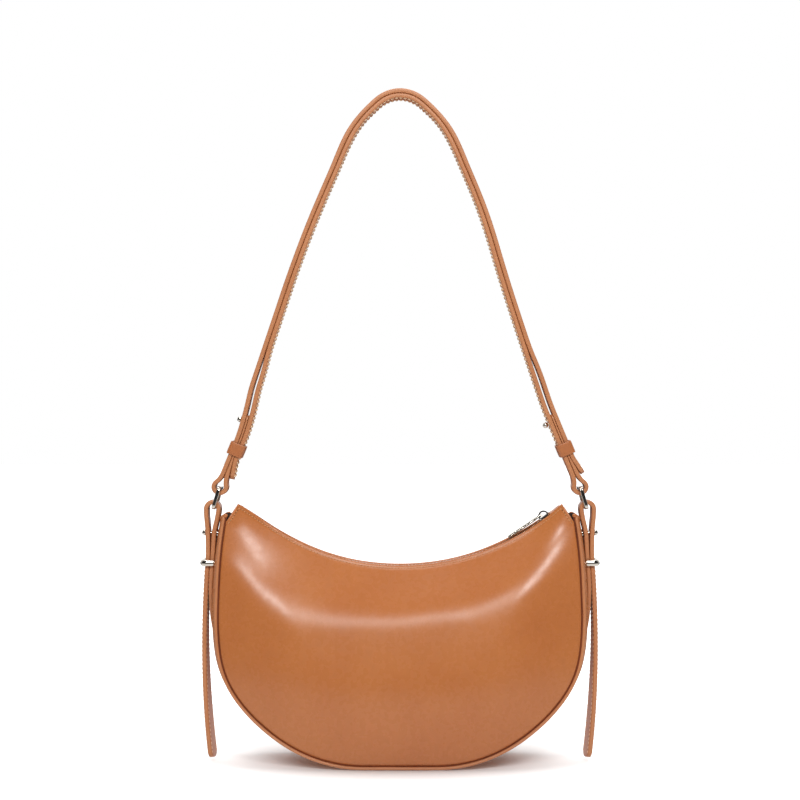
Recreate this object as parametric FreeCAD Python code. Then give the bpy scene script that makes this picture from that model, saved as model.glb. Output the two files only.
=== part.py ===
"""A half moon shoulder bag in smooth leather, in millimetres: X right, Y away from the viewer, Z up.

Two puffed panels and one long gusset make the body, with a curved zip across the mouth.
A strap on each side holds a ring, and two leather straps run together from ring to ring.
"""
import FreeCAD, Part
import math
import os
from FreeCAD import Placement, Rotation, Vector

# Body outline, drawn flat in the plane of a main panel
HALF_WIDTH = 142.0       # centre to the side seam where the body is widest
WIDEST = 122.5           # height of that place above the panel's lowest edge
BASE_HALF = 28.0         # half of the straight run along the base
LOWER_TURN = 65.0        # degrees turned by the first arc up from the base
SIDE_LEAN = 10.0         # degrees that the side seam leans in at its upper end
SHOULDER = 188.0         # height of the side seam's upper end
CORNER_IN = 15.0         # widest place to a corner of the mouth, across
CORNER_RISE = 15.0       # shoulder up to a corner of the mouth
MOUTH_DIP = 48.0         # fall of the mouth from its corners to its middle

# Depth of the body
SEAM_BASE = 38.0         # half the depth between the two seams at the base
SEAM_TOP = 14.0          # the same at the shoulders
BASE_LIFT = 2.6          # height of the panels' lowest edge above the floor
GUSSET_BULGE = 5.0       # how far the gusset stands out past the side seams
FLAT_SHARE = 0.75        # share of the gusset's width that is flat
PUFF = 18.0              # how far a panel puffs out past its seam
MOUTH_LEAN = 10.0        # how far a panel leans in past its seam at the mouth
SIDE_RUN = 70.0          # distance from the seam over which a panel rises
MOUTH_RUN = 75.0         # distance below the mouth over which a panel leans out

# Leather, lining and piping
PANEL = 1.6
GUSSET = 1.6
LINING = 0.6
SEAM_GAP = 0.05          # between pieces sewn face to face
LINING_GAP = 0.3         # between a panel and its lining
POCKET_GAP = 1.6         # between the gusset and its lining, room for the back plates
LINING_DROP = 4.5        # fall of the lining's upper edge below the mouth
BEAD_R = 1.5             # piping

# Zip
ZIP_DROP = 2.0           # depth of the chain below the edge of the mouth
TAPE = 0.8
TAPE_EDGE = 1.5          # centre of the mouth to the inner edge of a tape
TAPE_IN = 5.8            # corner of the mouth to a tape's end, along the chain
TOOTH_PITCH = 2.8
TOOTH_WIDTH = 1.1
TOOTH_REACH = 0.7        # how far a tooth crosses the middle
TOOTH_BACK = 2.9         # middle to the outer end of a tooth
TOOTH_HALF = 1.3         # half a tooth's height
TOOTH_SLOT = 1.0         # clear height for the tape
TEETH_IN = 14.5          # left corner to the first tooth
SLIDER_IN = 17.2         # right corner to the slider at the closed end
SLIDER_LENGTH = 10.0
SLIDER_HALF = 4.0        # half its width
SLIDER_PLATE = 1.1
SLIDER_LIP = 0.8
SLIDER_CLEAR = 0.4       # over the teeth and past the tape
POST = 1.8               # the wedge that joins the slider's plates
BAIL_OUT = 4.2
BAIL_IN = 3.0
BAIL_HALF = 1.2
PULLER_LENGTH = 31.5
PULLER_HALF = 2.5
PULLER = 1.6
PULLER_TILT = 3.0        # degrees that the puller rises off the chain
PIVOT_BACK = 1.0         # pivot behind the middle of the bail
PIVOT_UP = 1.5           # pivot above the slider's plate
STOP = 1.6
TAB_IN = 8.2             # corner to the inner end of a tab
TAB_OUT = 3.6            # corner to its outer end
TAB_HALF = 6.8
TAB = 3.0

# Straps and rings
STRAP = 3.4              # thickness of one layer
STRAP_WIDTH = 16.0
LAYER_GAP = 0.3          # between layers that lie on each other
NODE_GAP = 0.3           # between lengths of one strap that move apart
LOOP_IN = 3.15           # inner radius of a loop round a ring
FLARE = 30.0             # degrees that the legs of a loop open
LOOP_LEG = 2.0           # straight ends of a side loop
WIRE_R = 1.7             # ring
RING_CLEAR = 0.35        # between a ring and the loops on it
RING_PITCH = 15.5        # between the middles of a ring's two bars
RING_LEAN = 16.0         # degrees that a ring leans in
RING_SIDE = 1.2          # between a ring and the edges of the strap
RING_BEND = 2.9          # middle radius of a ring's corners

# Side straps
ANCHOR_LOW = 15.0        # degrees of the lower side that the sewn layer covers
ANCHOR_LEAN = 3.9        # degrees that the side strap leans in
PINCH_UNDER = 2.0        # shoulder down to where the side loop starts
BRIDGE_UNDER = 31.0      # shoulder down to the metal bridge
BRIDGE_TALL = 5.0
BRIDGE = 3.5             # thickness
BRIDGE_ROUND = 3.2
BRIDGE_CLEAR = 0.35
PIN_R = 1.2
PIN_HOLE = 0.15          # clearance round a pin or post
BACK_PLATE = 1.0
SIDE_STUD_UNDER = 8.0    # shoulder down to the stud
TAIL_PLUMB = 99.5        # height where the tail hangs plumb
TAIL_TIP = 3.4           # height of the tails' ends above the floor
TIP_ROUND = 6.0

# Shoulder strap, from its top down one side
TOP_R = 25.0
TOP_TURN = 45.0
UPPER_R = 143.0
UPPER_TURN = 22.0
LONG_R = 890.0
LONG_TURN = 4.4
SHIFT_TURN = 5.0         # degrees of the bend that makes room for the folded layer
SHIFT_FROM = 3.0         # straight run above that bend
BEND_R = 200.0           # where the strap turns out towards its ring
BEND_TURN = 3.9
KEEPER_RUN = 62.0        # straight run from that bend to the middle of the loop
SKIVED = 1.3             # thickness of the folded layer past its taper
TAPER_END = 24.0         # middle of the loop to the thin end of that taper
FOLD_END = 61.0          # middle of the loop to the end of the folded layer
STRAP_STUD_AT = 55.0     # middle of the loop to the stud
TAIL_BEND_AT = 24.5      # middle of the loop to where the other strap's tail bends off
TAIL_BEND_R = 12.0
TAIL_TURN = 11.5
TAIL_STRAIGHT = 13.5     # length of that tail past its bend
KEEPER_AT = 32.0         # middle of the loop to the leather keeper
KEEPER_LENGTH = 10.0
KEEPER = 1.6
KEEPER_CLEAR = 0.35
KEEPER_ROUND = 1.5

# Studs
HEAD_R = 2.3
NECK_R = 1.3
NECK = 0.7
STUD_R = 1.6
FLANGE_R = 3.4
FLANGE = 0.7


def sin(degrees):
    return math.sin(math.radians(degrees))


def cos(degrees):
    return math.cos(math.radians(degrees))


HALF_LAYERS = (STRAP + LAYER_GAP) / 2
LOOP_R = LOOP_IN + STRAP / 2
LOOP_OPENING = (LOOP_R * cos(FLARE) - HALF_LAYERS) / (1 - cos(FLARE))
LOOP_REACH = (LOOP_R + LOOP_OPENING) * sin(FLARE)


def mirror_x(shape):
    return shape.mirror(Vector(0, 0, 0), Vector(1, 0, 0))


def mirror_y(shape):
    return shape.mirror(Vector(0, 0, 0), Vector(0, 1, 0))


class Trail:
    """A flat path in the XZ plane, made of straight runs and tangent arcs, that can be offset."""

    def __init__(self, x, z, heading):
        self.x = x
        self.z = z
        self.heading = heading
        self.runs = []

    def skip(self, length):
        self.x += length * cos(self.heading)
        self.z += length * sin(self.heading)

    def line(self, length):
        self.runs.append((self.x, self.z, self.heading, length, 0.0))
        self.skip(length)

    def arc(self, radius, turn):
        """Turns left for positive degrees and right for negative ones."""
        self.runs.append((self.x, self.z, self.heading, radius, turn))
        side = math.copysign(radius, turn)
        self.x += side * (sin(self.heading + turn) - sin(self.heading))
        self.z -= side * (cos(self.heading + turn) - cos(self.heading))
        self.heading += turn

    def loop(self, side):
        """A drop shaped loop for a ring, that opens to the left first for side 1."""
        self.arc(LOOP_OPENING, side * FLARE)
        self.arc(LOOP_R, -side * (180 + 2 * FLARE))
        self.arc(LOOP_OPENING, side * FLARE)

    def point(self, run, share, offset):
        """A point on a run, offset to the left of the way."""
        x, z, heading, size, turn = run
        if turn == 0.0:
            x += share * size * cos(heading)
            z += share * size * sin(heading)
            return Vector(x - offset * sin(heading), 0, z + offset * cos(heading))
        side = math.copysign(size, turn)
        centre_x = x - side * sin(heading)
        centre_z = z + side * cos(heading)
        reach = side - offset
        there = heading + share * turn
        return Vector(centre_x + reach * sin(there), 0, centre_z - reach * cos(there))

    def edges(self, offset, first=0, last=None):
        drawn = []
        for run in self.runs[first:last]:
            start = self.point(run, 0.0, offset)
            end = self.point(run, 1.0, offset)
            if run[4] == 0.0:
                drawn.append(Part.makeLine(start, end))
            else:
                drawn.append(Part.Arc(start, self.point(run, 0.5, offset), end).toShape())
        return drawn

    def ribbon(self, left, right, first=0, last=None):
        """The closed outline between two offsets."""
        one = self.edges(left, first, last)
        other = self.edges(right, first, last)
        runs = self.runs[first:last]
        close_far = Part.makeLine(self.point(runs[-1], 1.0, left), self.point(runs[-1], 1.0, right))
        close_near = Part.makeLine(self.point(runs[0], 0.0, right), self.point(runs[0], 0.0, left))
        return Part.Wire(one + [close_far] + other[::-1] + [close_near])

    def strip(self, first=0, last=None):
        """One layer of strap along the path."""
        face = Part.Face(self.ribbon(STRAP / 2, -STRAP / 2, first, last))
        return slab(face, STRAP_WIDTH)


def slab(face, width):
    """A face in the XZ plane made into a solid, half its width to each side."""
    face.translate(Vector(0, -width / 2, 0))
    return face.extrude(Vector(0, width, 0))


def rounded_tip(strip, x, z):
    """Rounds the two corners of a strap's end, found by where the end is."""
    corners = []
    for edge in strip.Edges:
        middle = edge.CenterOfMass
        across = abs(abs(middle.y) - STRAP_WIDTH / 2) < 0.01
        near = math.hypot(middle.x - x, middle.z - z) < STRAP / 4
        if across and near:
            corners.append(edge)
    return strip.makeFillet(TIP_ROUND, corners)


def lower_radii(half_width, rise):
    """Radii of the two arcs between the base and the widest place."""
    change = (half_width - rise - BASE_HALF) / (sin(LOWER_TURN) + cos(LOWER_TURN) - 1)
    upper = half_width - BASE_HALF - change * sin(LOWER_TURN)
    return upper + change, upper


SIDE_R = (SHOULDER - WIDEST) / sin(SIDE_LEAN)


def body_trail(half_width, base):
    """The seam line, from the left shoulder down, along the base and up to the right shoulder."""
    low, high = lower_radii(half_width, WIDEST - base)
    trail = Trail(-half_width + SIDE_R * (1 - cos(SIDE_LEAN)), SHOULDER, 270 - SIDE_LEAN)
    trail.arc(SIDE_R, SIDE_LEAN)
    trail.arc(high, 90 - LOWER_TURN)
    trail.arc(low, LOWER_TURN)
    trail.line(2 * BASE_HALF)
    trail.arc(low, LOWER_TURN)
    trail.arc(high, 90 - LOWER_TURN)
    trail.arc(SIDE_R, SIDE_LEAN)
    return trail


CORNER_HALF = HALF_WIDTH - CORNER_IN
CORNER = SHOULDER + CORNER_RISE
PINCH = SHOULDER - PINCH_UNDER
BRIDGE_AT = SHOULDER - BRIDGE_UNDER
SIDE_STUD_AT = SHOULDER - SIDE_STUD_UNDER
MOUTH_R = (CORNER_HALF ** 2 + MOUTH_DIP ** 2) / (2 * MOUTH_DIP)
MOUTH_MIDDLE = CORNER - MOUTH_DIP


def seam_distance(x, w):
    """Distance in from the side and base seam, in the plane of a panel."""
    low, high = lower_radii(HALF_WIDTH, WIDEST)
    x = abs(x)
    if w > WIDEST:
        return SIDE_R - math.hypot(x - HALF_WIDTH + SIDE_R, w - WIDEST)
    if x < BASE_HALF:
        return w
    if math.atan2(x - BASE_HALF, low - w) < math.radians(LOWER_TURN):
        return low - math.hypot(x - BASE_HALF, w - low)
    return high - math.hypot(x - HALF_WIDTH + high, w - WIDEST)


def puff(x, w):
    """How far a panel stands out of the plane of its seam."""
    side = min(seam_distance(x, w) / SIDE_RUN, 1.0)
    rise = 2 * side - side * abs(side)
    below = math.hypot(x, w - MOUTH_MIDDLE - MOUTH_R) - MOUTH_R
    mouth = 1 - min(below / MOUTH_RUN, 1.0)
    return rise * (PUFF - (PUFF + MOUTH_LEAN) * mouth * mouth)


def tilt(share):
    return math.degrees(math.asin(share * (SEAM_BASE - SEAM_TOP) / SHOULDER))


def seat(share):
    """Stands a flat drawing up at a share of the body's half depth."""
    return Placement(Vector(0, -share * SEAM_BASE, BASE_LIFT), Rotation(Vector(1, 0, 0), -tilt(share)))


def puffed_sheet(behind, thickness):
    """A sheet that follows the front panel's outer face, this far behind it."""
    across = 34
    upward = 26
    margin = 9.0
    rows = []
    for i in range(across + 1):
        x = (HALF_WIDTH + margin) * (2 * i / across - 1)
        row = []
        for j in range(upward + 1):
            w = (CORNER + 2 * margin) * j / upward - margin
            row.append(Vector(x, behind - puff(x, w), w))
        rows.append(row)
    surface = Part.BSplineSurface()
    surface.interpolate(rows)
    return Part.Face(surface).extrude(Vector(0, thickness, 0))


def panel_blank(inset, drop):
    """The panel's outline as a block through the front half, drawn in by the inset."""
    trail = body_trail(HALF_WIDTH, 0.0)
    rim = trail.edges(inset)
    right = rim[-1].Vertexes[-1].Point
    left = rim[0].Vertexes[0].Point
    radius = MOUTH_R + drop
    middle = MOUTH_MIDDLE + MOUTH_R
    reach = CORNER_HALF - inset
    height = middle - math.sqrt(radius ** 2 - reach ** 2)
    right_corner = Vector(reach, 0, height)
    left_corner = Vector(-reach, 0, height)
    dip = Vector(0, 0, middle - radius)
    rim.append(Part.makeLine(right, right_corner))
    rim.append(Part.Arc(right_corner, dip, left_corner).toShape())
    rim.append(Part.makeLine(left_corner, left))
    return slab(Part.Face(Part.Wire(rim)), 4 * SEAM_BASE)


def front_sheet(behind, thickness, inset, drop):
    sheet = puffed_sheet(behind, thickness).common(panel_blank(inset, drop))
    solid = sheet.Solids[0]
    solid.Placement = seat(1.0)
    return solid


def long_strip(outer, thickness, edge):
    """A strip round the sides and base, from the front seam to the back one."""
    seam = body_trail(HALF_WIDTH, 0.0).ribbon(outer, outer + thickness)
    seam.translate(Vector(0, edge, 0))
    seam.Placement = seat(1.0).multiply(seam.Placement)
    floor = -BASE_LIFT / cos(tilt(FLAT_SHARE))
    flat = body_trail(HALF_WIDTH + GUSSET_BULGE, floor).ribbon(outer, outer + thickness)
    flat.Placement = seat(FLAT_SHARE)
    return Part.makeLoft([seam, flat, mirror_y(flat), mirror_y(seam)], True, True)


def piping():
    """The bead along the front seam, pressed flat where the bag stands on it."""
    trail = body_trail(HALF_WIDTH, 0.0)
    path = Part.Wire(trail.edges(-BEAD_R - SEAM_GAP))
    path.translate(Vector(0, PANEL / 4, 0))
    start = path.Edges[0].valueAt(path.Edges[0].FirstParameter)
    along = path.Edges[0].tangentAt(path.Edges[0].FirstParameter)
    ring = Part.Wire(Part.makeCircle(BEAD_R, start, along))
    bead = path.makePipeShell([ring], True, False)
    bead.Placement = seat(1.0)
    ground = Part.makeBox(4 * HALF_WIDTH, 4 * SEAM_BASE, 10, Vector(-2 * HALF_WIDTH, -2 * SEAM_BASE, -10))
    return bead.cut(ground).Solids[0]


# The mouth as it stands in the finished bag gives the zip its curve
EDGE_MIDDLE = seat(1.0).multVec(Vector(0, -puff(0, MOUTH_MIDDLE), MOUTH_MIDDLE))
EDGE_CORNER = seat(1.0).multVec(Vector(CORNER_HALF, -puff(CORNER_HALF, CORNER), CORNER))
EDGE_DIP = EDGE_CORNER.z - EDGE_MIDDLE.z
EDGE_R = (CORNER_HALF ** 2 + EDGE_DIP ** 2) / (2 * EDGE_DIP)
ZIP_MIDDLE = EDGE_MIDDLE.z + EDGE_R
ZIP_R = EDGE_R + ZIP_DROP


def from_corner(length):
    """The angle along the chain, from its middle, of a place this far in from a corner."""
    return math.degrees(math.asin(CORNER_HALF / EDGE_R) - length / ZIP_R)


SLIDER_AT = from_corner(SLIDER_IN)


def zip_band(start, end, half_height, width):
    """A curved band along the chain between two angles, half its width to each side."""
    trail = Trail(ZIP_R * sin(start), ZIP_MIDDLE - ZIP_R * cos(start), start)
    trail.arc(ZIP_R, end - start)
    return slab(Part.Face(trail.ribbon(half_height, -half_height)), width)


def on_zip(shape, angle):
    """Takes a shape drawn at the bottom of the chain, about its middle, to an angle along it."""
    moved = shape.copy()
    moved.translate(Vector(0, 0, ZIP_MIDDLE - ZIP_R))
    moved.rotate(Vector(0, 0, ZIP_MIDDLE), Vector(0, 1, 0), -angle)
    return moved


def front_tape():
    """A tape from beside the chain to the inner face of the front panel."""
    depth = 2 * SEAM_TOP
    band = zip_band(-from_corner(TAPE_IN), from_corner(TAPE_IN), TAPE / 2, depth)
    band.translate(Vector(0, -TAPE_EDGE - depth / 2, 0))
    inside = puffed_sheet(PANEL + SEAM_GAP, 4 * SEAM_BASE)
    inside.Placement = seat(1.0)
    return band.common(inside).Solids[0]


def front_tooth():
    """A metal tooth with two jaws that hold the edge of the front tape."""
    half = TOOTH_HALF
    slot = TOOTH_SLOT / 2
    root = TAPE_EDGE - SEAM_GAP
    corners = [(TOOTH_REACH, half), (-TOOTH_BACK, half), (-TOOTH_BACK, slot), (-root, slot),
               (-root, -slot), (-TOOTH_BACK, -slot), (-TOOTH_BACK, -half), (TOOTH_REACH, -half)]
    points = [Vector(-TOOTH_WIDTH / 2, y, z) for y, z in corners]
    face = Part.Face(Part.makePolygon(points + points[:1]))
    return face.extrude(Vector(TOOTH_WIDTH, 0, 0))


def front_teeth(shift):
    """A row of teeth up to the slider's wedge, moved along by a share of the pitch."""
    tooth = front_tooth()
    step = math.degrees(TOOTH_PITCH / ZIP_R)
    room = SLIDER_LENGTH / 2 - POST - TOOTH_PITCH - SLIDER_CLEAR
    first = -from_corner(TEETH_IN)
    last = SLIDER_AT + math.degrees(room / ZIP_R)
    count = int((last - first) / step)
    return Part.makeCompound([on_zip(tooth, first + step * (i + shift)) for i in range(count)])


PLATE_LOW = TOOTH_HALF + SLIDER_CLEAR
PLATE_HIGH = PLATE_LOW + SLIDER_PLATE


def slider():
    """Two plates with lips, the wedge between them, and the bail for the puller on top."""
    half = SLIDER_LENGTH / 2
    plate_corner = Vector(-half, -SLIDER_HALF, PLATE_LOW)
    plate = Part.makeBox(SLIDER_LENGTH, 2 * SLIDER_HALF, SLIDER_PLATE, plate_corner)
    upright = [e for e in plate.Edges if abs(e.tangentAt(e.FirstParameter).z) > 0.99]
    plate = plate.makeFillet(SLIDER_HALF / 2, upright)
    lip_low = TAPE / 2 + SLIDER_CLEAR
    lip_size = (SLIDER_LENGTH - 2 * SLIDER_HALF, SLIDER_LIP, PLATE_LOW - lip_low + SLIDER_PLATE / 2)
    lip = Part.makeBox(*lip_size, Vector(SLIDER_HALF / 2 - half, -SLIDER_HALF, lip_low))
    half_slider = plate.fuse([lip, mirror_y(lip)])
    below = half_slider.mirror(Vector(0, 0, 0), Vector(0, 0, 1))
    post_size = (POST, POST, 2 * PLATE_LOW + SLIDER_PLATE)
    post = Part.makeBox(*post_size, Vector(half - POST - SLIDER_CLEAR, -POST / 2, -post_size[2] / 2))
    across = Vector(0, 1, 0)
    foot = Vector(0, -BAIL_HALF, PLATE_HIGH)
    arch = Part.makeCylinder(BAIL_OUT, 2 * BAIL_HALF, foot, across)
    arch = arch.cut(Part.makeCylinder(BAIL_IN, 2 * BAIL_HALF, foot, across))
    upper = Part.makeBox(4 * BAIL_OUT, 4 * BAIL_HALF, 2 * BAIL_OUT,
                         Vector(-2 * BAIL_OUT, -2 * BAIL_HALF, PLATE_HIGH - SLIDER_PLATE / 2))
    body = half_slider.fuse([below, post, arch.common(upper)])
    return on_zip(body.removeSplitter(), SLIDER_AT)


PIVOT_HEIGHT = PLATE_HIGH + PIVOT_UP


def puller():
    """A long flat bar with an eye at one end that hangs on the bail."""
    cross = PULLER / 2
    eye_half = BAIL_HALF + SLIDER_CLEAR
    corner = Vector(-PULLER_LENGTH, -PULLER_HALF, -cross)
    bar = Part.makeBox(PULLER_LENGTH, 2 * PULLER_HALF, PULLER, corner)
    upright = [e for e in bar.Edges if abs(e.tangentAt(e.FirstParameter).z) > 0.99]
    bar = bar.makeFillet(PULLER_HALF * 0.6, [e for e in upright if e.CenterOfMass.x < -1])
    eye_corner = Vector(-BAIL_OUT, -eye_half, -PULLER)
    bar = bar.cut(Part.makeBox(2 * BAIL_OUT, 2 * eye_half, 2 * PULLER, eye_corner))
    pin = Part.makeCylinder(cross, 2 * PULLER_HALF, Vector(0, -PULLER_HALF, 0), Vector(0, 1, 0))
    bar = bar.fuse(pin).removeSplitter()
    bar.rotate(Vector(0, 0, 0), Vector(0, 1, 0), PULLER_TILT)
    bar.translate(Vector(-PIVOT_BACK, 0, PIVOT_HEIGHT))
    return on_zip(bar, SLIDER_AT)


def zip_stops():
    """Two stops beyond the slider and one across both tapes at the other end."""
    block = Part.makeBox(STOP, TOOTH_BACK - TAPE_EDGE / 2, 2 * TOOTH_HALF,
                         Vector(-STOP / 2, -TOOTH_BACK, -TOOTH_HALF))
    slot = Part.makeBox(2 * STOP, TOOTH_BACK, TOOTH_SLOT,
                        Vector(-STOP, -TOOTH_BACK - TAPE_EDGE + SEAM_GAP, -TOOTH_SLOT / 2))
    upper = block.cut(slot)
    beyond = SLIDER_AT + math.degrees((SLIDER_LENGTH / 2 + STOP) / ZIP_R)
    wide = Part.makeBox(STOP, 2 * TOOTH_BACK, 2 * TOOTH_HALF,
                        Vector(-STOP / 2, -TOOTH_BACK, -TOOTH_HALF))
    lower = wide.cut([slot, mirror_y(slot)])
    before = -from_corner(TEETH_IN - TOOTH_PITCH)
    right_stops = [on_zip(upper, beyond), on_zip(mirror_y(upper), beyond)]
    return Part.makeCompound(right_stops + [on_zip(lower, before)])


def right_tab():
    """A leather end folded over both tapes at a corner of the mouth."""
    tab = zip_band(from_corner(TAB_IN), from_corner(-TAB_OUT), TAB / 2, 2 * TAB_HALF)
    slot_start = from_corner(TAB_IN + TAB)
    slot = zip_band(slot_start, from_corner(TAPE_IN - SEAM_GAP), TOOTH_SLOT / 2, 4 * TAB_HALF)
    return tab.cut(slot)


# The right side strap: sewn layer, loop round the ring, layer under the bridge, hanging tail
FLAT_LOW, FLAT_HIGH = lower_radii(HALF_WIDTH + GUSSET_BULGE, WIDEST + BASE_LIFT)
SIDE_WIDEST = BASE_LIFT + WIDEST * cos(tilt(FLAT_SHARE))
SIDE_OUT = LAYER_GAP + STRAP / 2
FLAT_WIDTH = HALF_WIDTH + GUSSET_BULGE


def side_trail():
    """The middle of the strap's thickness. Its runs are: 0 to 2 sewn, 3 to 7 loop, 8 bridge, 9 tail."""
    low_r = FLAT_HIGH + SIDE_OUT
    x = FLAT_WIDTH - FLAT_HIGH + low_r * cos(ANCHOR_LOW)
    trail = Trail(x, SIDE_WIDEST - low_r * sin(ANCHOR_LOW), 90 - ANCHOR_LOW)
    trail.arc(low_r, ANCHOR_LOW)
    trail.arc(SIDE_R + SIDE_OUT, ANCHOR_LEAN)
    trail.line((PINCH - trail.z) / cos(ANCHOR_LEAN))
    trail.skip(NODE_GAP)
    trail.line(LOOP_LEG)
    trail.loop(1)
    trail.line(LOOP_LEG)
    trail.skip(NODE_GAP)
    bridge_foot = BRIDGE_AT - BRIDGE_TALL / 2 - BRIDGE_CLEAR
    trail.line((trail.z - bridge_foot) / cos(ANCHOR_LEAN))
    trail.skip(NODE_GAP)
    tail_r = (trail.z - TAIL_PLUMB) / sin(ANCHOR_LEAN)
    fall = (trail.z - TAIL_TIP) / tail_r - sin(ANCHOR_LEAN)
    trail.arc(tail_r, -ANCHOR_LEAN - math.degrees(math.asin(fall)))
    return trail


SIDE = side_trail()


def middle_of(trail, run):
    """The point round which a looping run turns."""
    x, z, heading, radius, turn = trail.runs[run]
    side = math.copysign(radius, turn)
    return Vector(x - side * sin(heading), 0, z + side * cos(heading))


def along_side(run, height):
    """The point of a side strap's straight run at a height."""
    x, z, heading, length, turn = SIDE.runs[run]
    return Vector(x + (height - z) / math.tan(math.radians(heading)), 0, height)


SIDE_NORMAL = Vector(cos(ANCHOR_LEAN), 0, sin(ANCHOR_LEAN))
RING_UP = Vector(-sin(RING_LEAN), 0, cos(RING_LEAN))
RING_PLAY = LOOP_IN - WIRE_R - RING_CLEAR
RING_LOW = middle_of(SIDE, 5) + RING_UP * RING_PLAY
RING_HIGH = RING_LOW + RING_UP * RING_PITCH
STRAP_EYE = RING_HIGH + RING_UP * RING_PLAY


def stud(face, outward, grip):
    """A ball stud: head and neck outside the leather, post through it and flange behind it."""
    ball = NECK + math.sqrt(HEAD_R ** 2 - NECK_R ** 2)
    top = Vector(0, 0, ball + HEAD_R)
    side = Vector(HEAD_R, 0, ball)
    under = Vector(NECK_R, 0, NECK)
    flange_top = Vector(FLANGE_R, 0, -grip)
    flange_foot = Vector(FLANGE_R, 0, -grip - FLANGE)
    foot = Vector(0, 0, -grip - FLANGE)
    post = Vector(STUD_R, 0, -grip)
    lip = Vector(STUD_R, 0, 0)
    neck = Vector(NECK_R, 0, 0)
    edges = [Part.Arc(top, Vector(HEAD_R * sin(45), 0, ball + HEAD_R * cos(45)), side).toShape(),
             Part.Arc(side, Vector(HEAD_R * cos(15), 0, ball - HEAD_R * sin(15)), under).toShape(),
             Part.makeLine(under, neck), Part.makeLine(neck, lip), Part.makeLine(lip, post),
             Part.makeLine(post, flange_top), Part.makeLine(flange_top, flange_foot),
             Part.makeLine(flange_foot, foot), Part.makeLine(foot, top)]
    solid = Part.Face(Part.Wire(edges)).revolve(Vector(0, 0, 0), Vector(0, 0, 1), 360)
    solid.Placement = Placement(face, Rotation(Vector(0, 0, 1), outward))
    return solid


def drilled(shape, middle, axis, radius, depth):
    """Makes a round hole, as deep to each side of its middle as given."""
    return shape.cut(Part.makeCylinder(radius, 2 * depth, middle - axis * depth, axis))


def side_stud():
    outer_face = along_side(8, SIDE_STUD_AT) + SIDE_NORMAL * (STRAP / 2)
    return stud(outer_face, SIDE_NORMAL, 2 * STRAP + LAYER_GAP + SEAM_GAP)


def side_layer(first, last):
    """A length of the side strap, with the stud's hole where it reaches the stud."""
    strip = SIDE.strip(first, last)
    middle = along_side(8, SIDE_STUD_AT)
    return drilled(strip, middle, SIDE_NORMAL, STUD_R + PIN_HOLE, 4 * STRAP)


def side_tail():
    run = SIDE.runs[9]
    end = SIDE.point(run, 1.0, 0.0)
    return rounded_tip(SIDE.strip(9, 10), end.x, end.z)


def gusset_side(height):
    """Where the gusset's flat outer face is at a height above the widest place."""
    return FLAT_WIDTH - SIDE_R + math.sqrt(SIDE_R ** 2 - (height - SIDE_WIDEST) ** 2)


BRIDGE_LEG = STRAP_WIDTH / 2 + BRIDGE_CLEAR + BRIDGE / 2


def bridge():
    """A metal staple over both layers of the side strap, with two pins into the gusset."""
    root = gusset_side(BRIDGE_AT)
    wall = root + LAYER_GAP
    inner = along_side(8, BRIDGE_AT - BRIDGE_TALL / 2).x + STRAP / 2 + BRIDGE_CLEAR
    outer = inner + BRIDGE
    half = STRAP_WIDTH / 2 + BRIDGE_CLEAR
    low = BRIDGE_AT - BRIDGE_TALL / 2
    block_corner = Vector(wall, -half - BRIDGE, low)
    block = Part.makeBox(outer - wall, 2 * (half + BRIDGE), BRIDGE_TALL, block_corner)
    upright = [e for e in block.Edges if abs(e.tangentAt(e.FirstParameter).z) > 0.99]
    block = block.makeFillet(BRIDGE_ROUND, [e for e in upright if e.CenterOfMass.x > inner])
    span_corner = Vector(wall - 1, -half, low - 1)
    block = block.cut(Part.makeBox(inner - wall + 1, 2 * half, 2 * BRIDGE_TALL, span_corner))
    soft = [e for e in block.Edges if e.BoundBox.ZLength < 0.01 and e.CenterOfMass.x > wall + 0.1
            and (abs(e.CenterOfMass.y) > half + 0.1 or e.CenterOfMass.x > inner + 0.1)]
    block = block.makeFillet(BRIDGE * 0.3, soft)
    reach = wall - root + GUSSET + LAYER_GAP + BACK_PLATE
    for y in (-BRIDGE_LEG, BRIDGE_LEG):
        pin_head = Vector(wall + 1, y, BRIDGE_AT)
        block = block.fuse(Part.makeCylinder(PIN_R, reach + 1, pin_head, Vector(-1, 0, 0)))
    return block.removeSplitter()


def bridge_holes(shape):
    """Holes for the bridge's pins."""
    for y in (-BRIDGE_LEG, BRIDGE_LEG):
        middle = Vector(gusset_side(BRIDGE_AT), y, BRIDGE_AT)
        shape = drilled(shape, middle, Vector(1, 0, 0), PIN_R + PIN_HOLE, 3 * GUSSET)
    return shape


def back_plate():
    """A metal plate behind the gusset that the bridge's pins are closed on."""
    half = BRIDGE_LEG + 2 * PIN_R
    root = gusset_side(BRIDGE_AT) - GUSSET - LAYER_GAP - BACK_PLATE
    plate = Part.makeBox(BACK_PLATE, 2 * half, 4 * PIN_R, Vector(root, -half, BRIDGE_AT - 2 * PIN_R))
    return bridge_holes(plate)


def ring():
    """A round wire bent to a ring with soft corners, leaning in from its lower bar."""
    half = STRAP_WIDTH / 2 + RING_SIDE + WIRE_R
    flat = Trail(half, RING_BEND, 90)
    for length in (RING_PITCH, 2 * half, RING_PITCH, 2 * half):
        flat.line(length - 2 * RING_BEND)
        flat.arc(RING_BEND, 90)
    path = Part.Wire(flat.edges(0.0))
    hoop = path.makePipeShell([Part.Wire(Part.makeCircle(WIRE_R, Vector(half, 0, RING_BEND)))], True, False)
    hoop.rotate(Vector(0, 0, 0), Vector(0, 0, 1), 90)
    hoop.rotate(Vector(0, 0, 0), Vector(0, 1, 0), -RING_LEAN)
    hoop.translate(RING_LOW)
    return hoop


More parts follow.
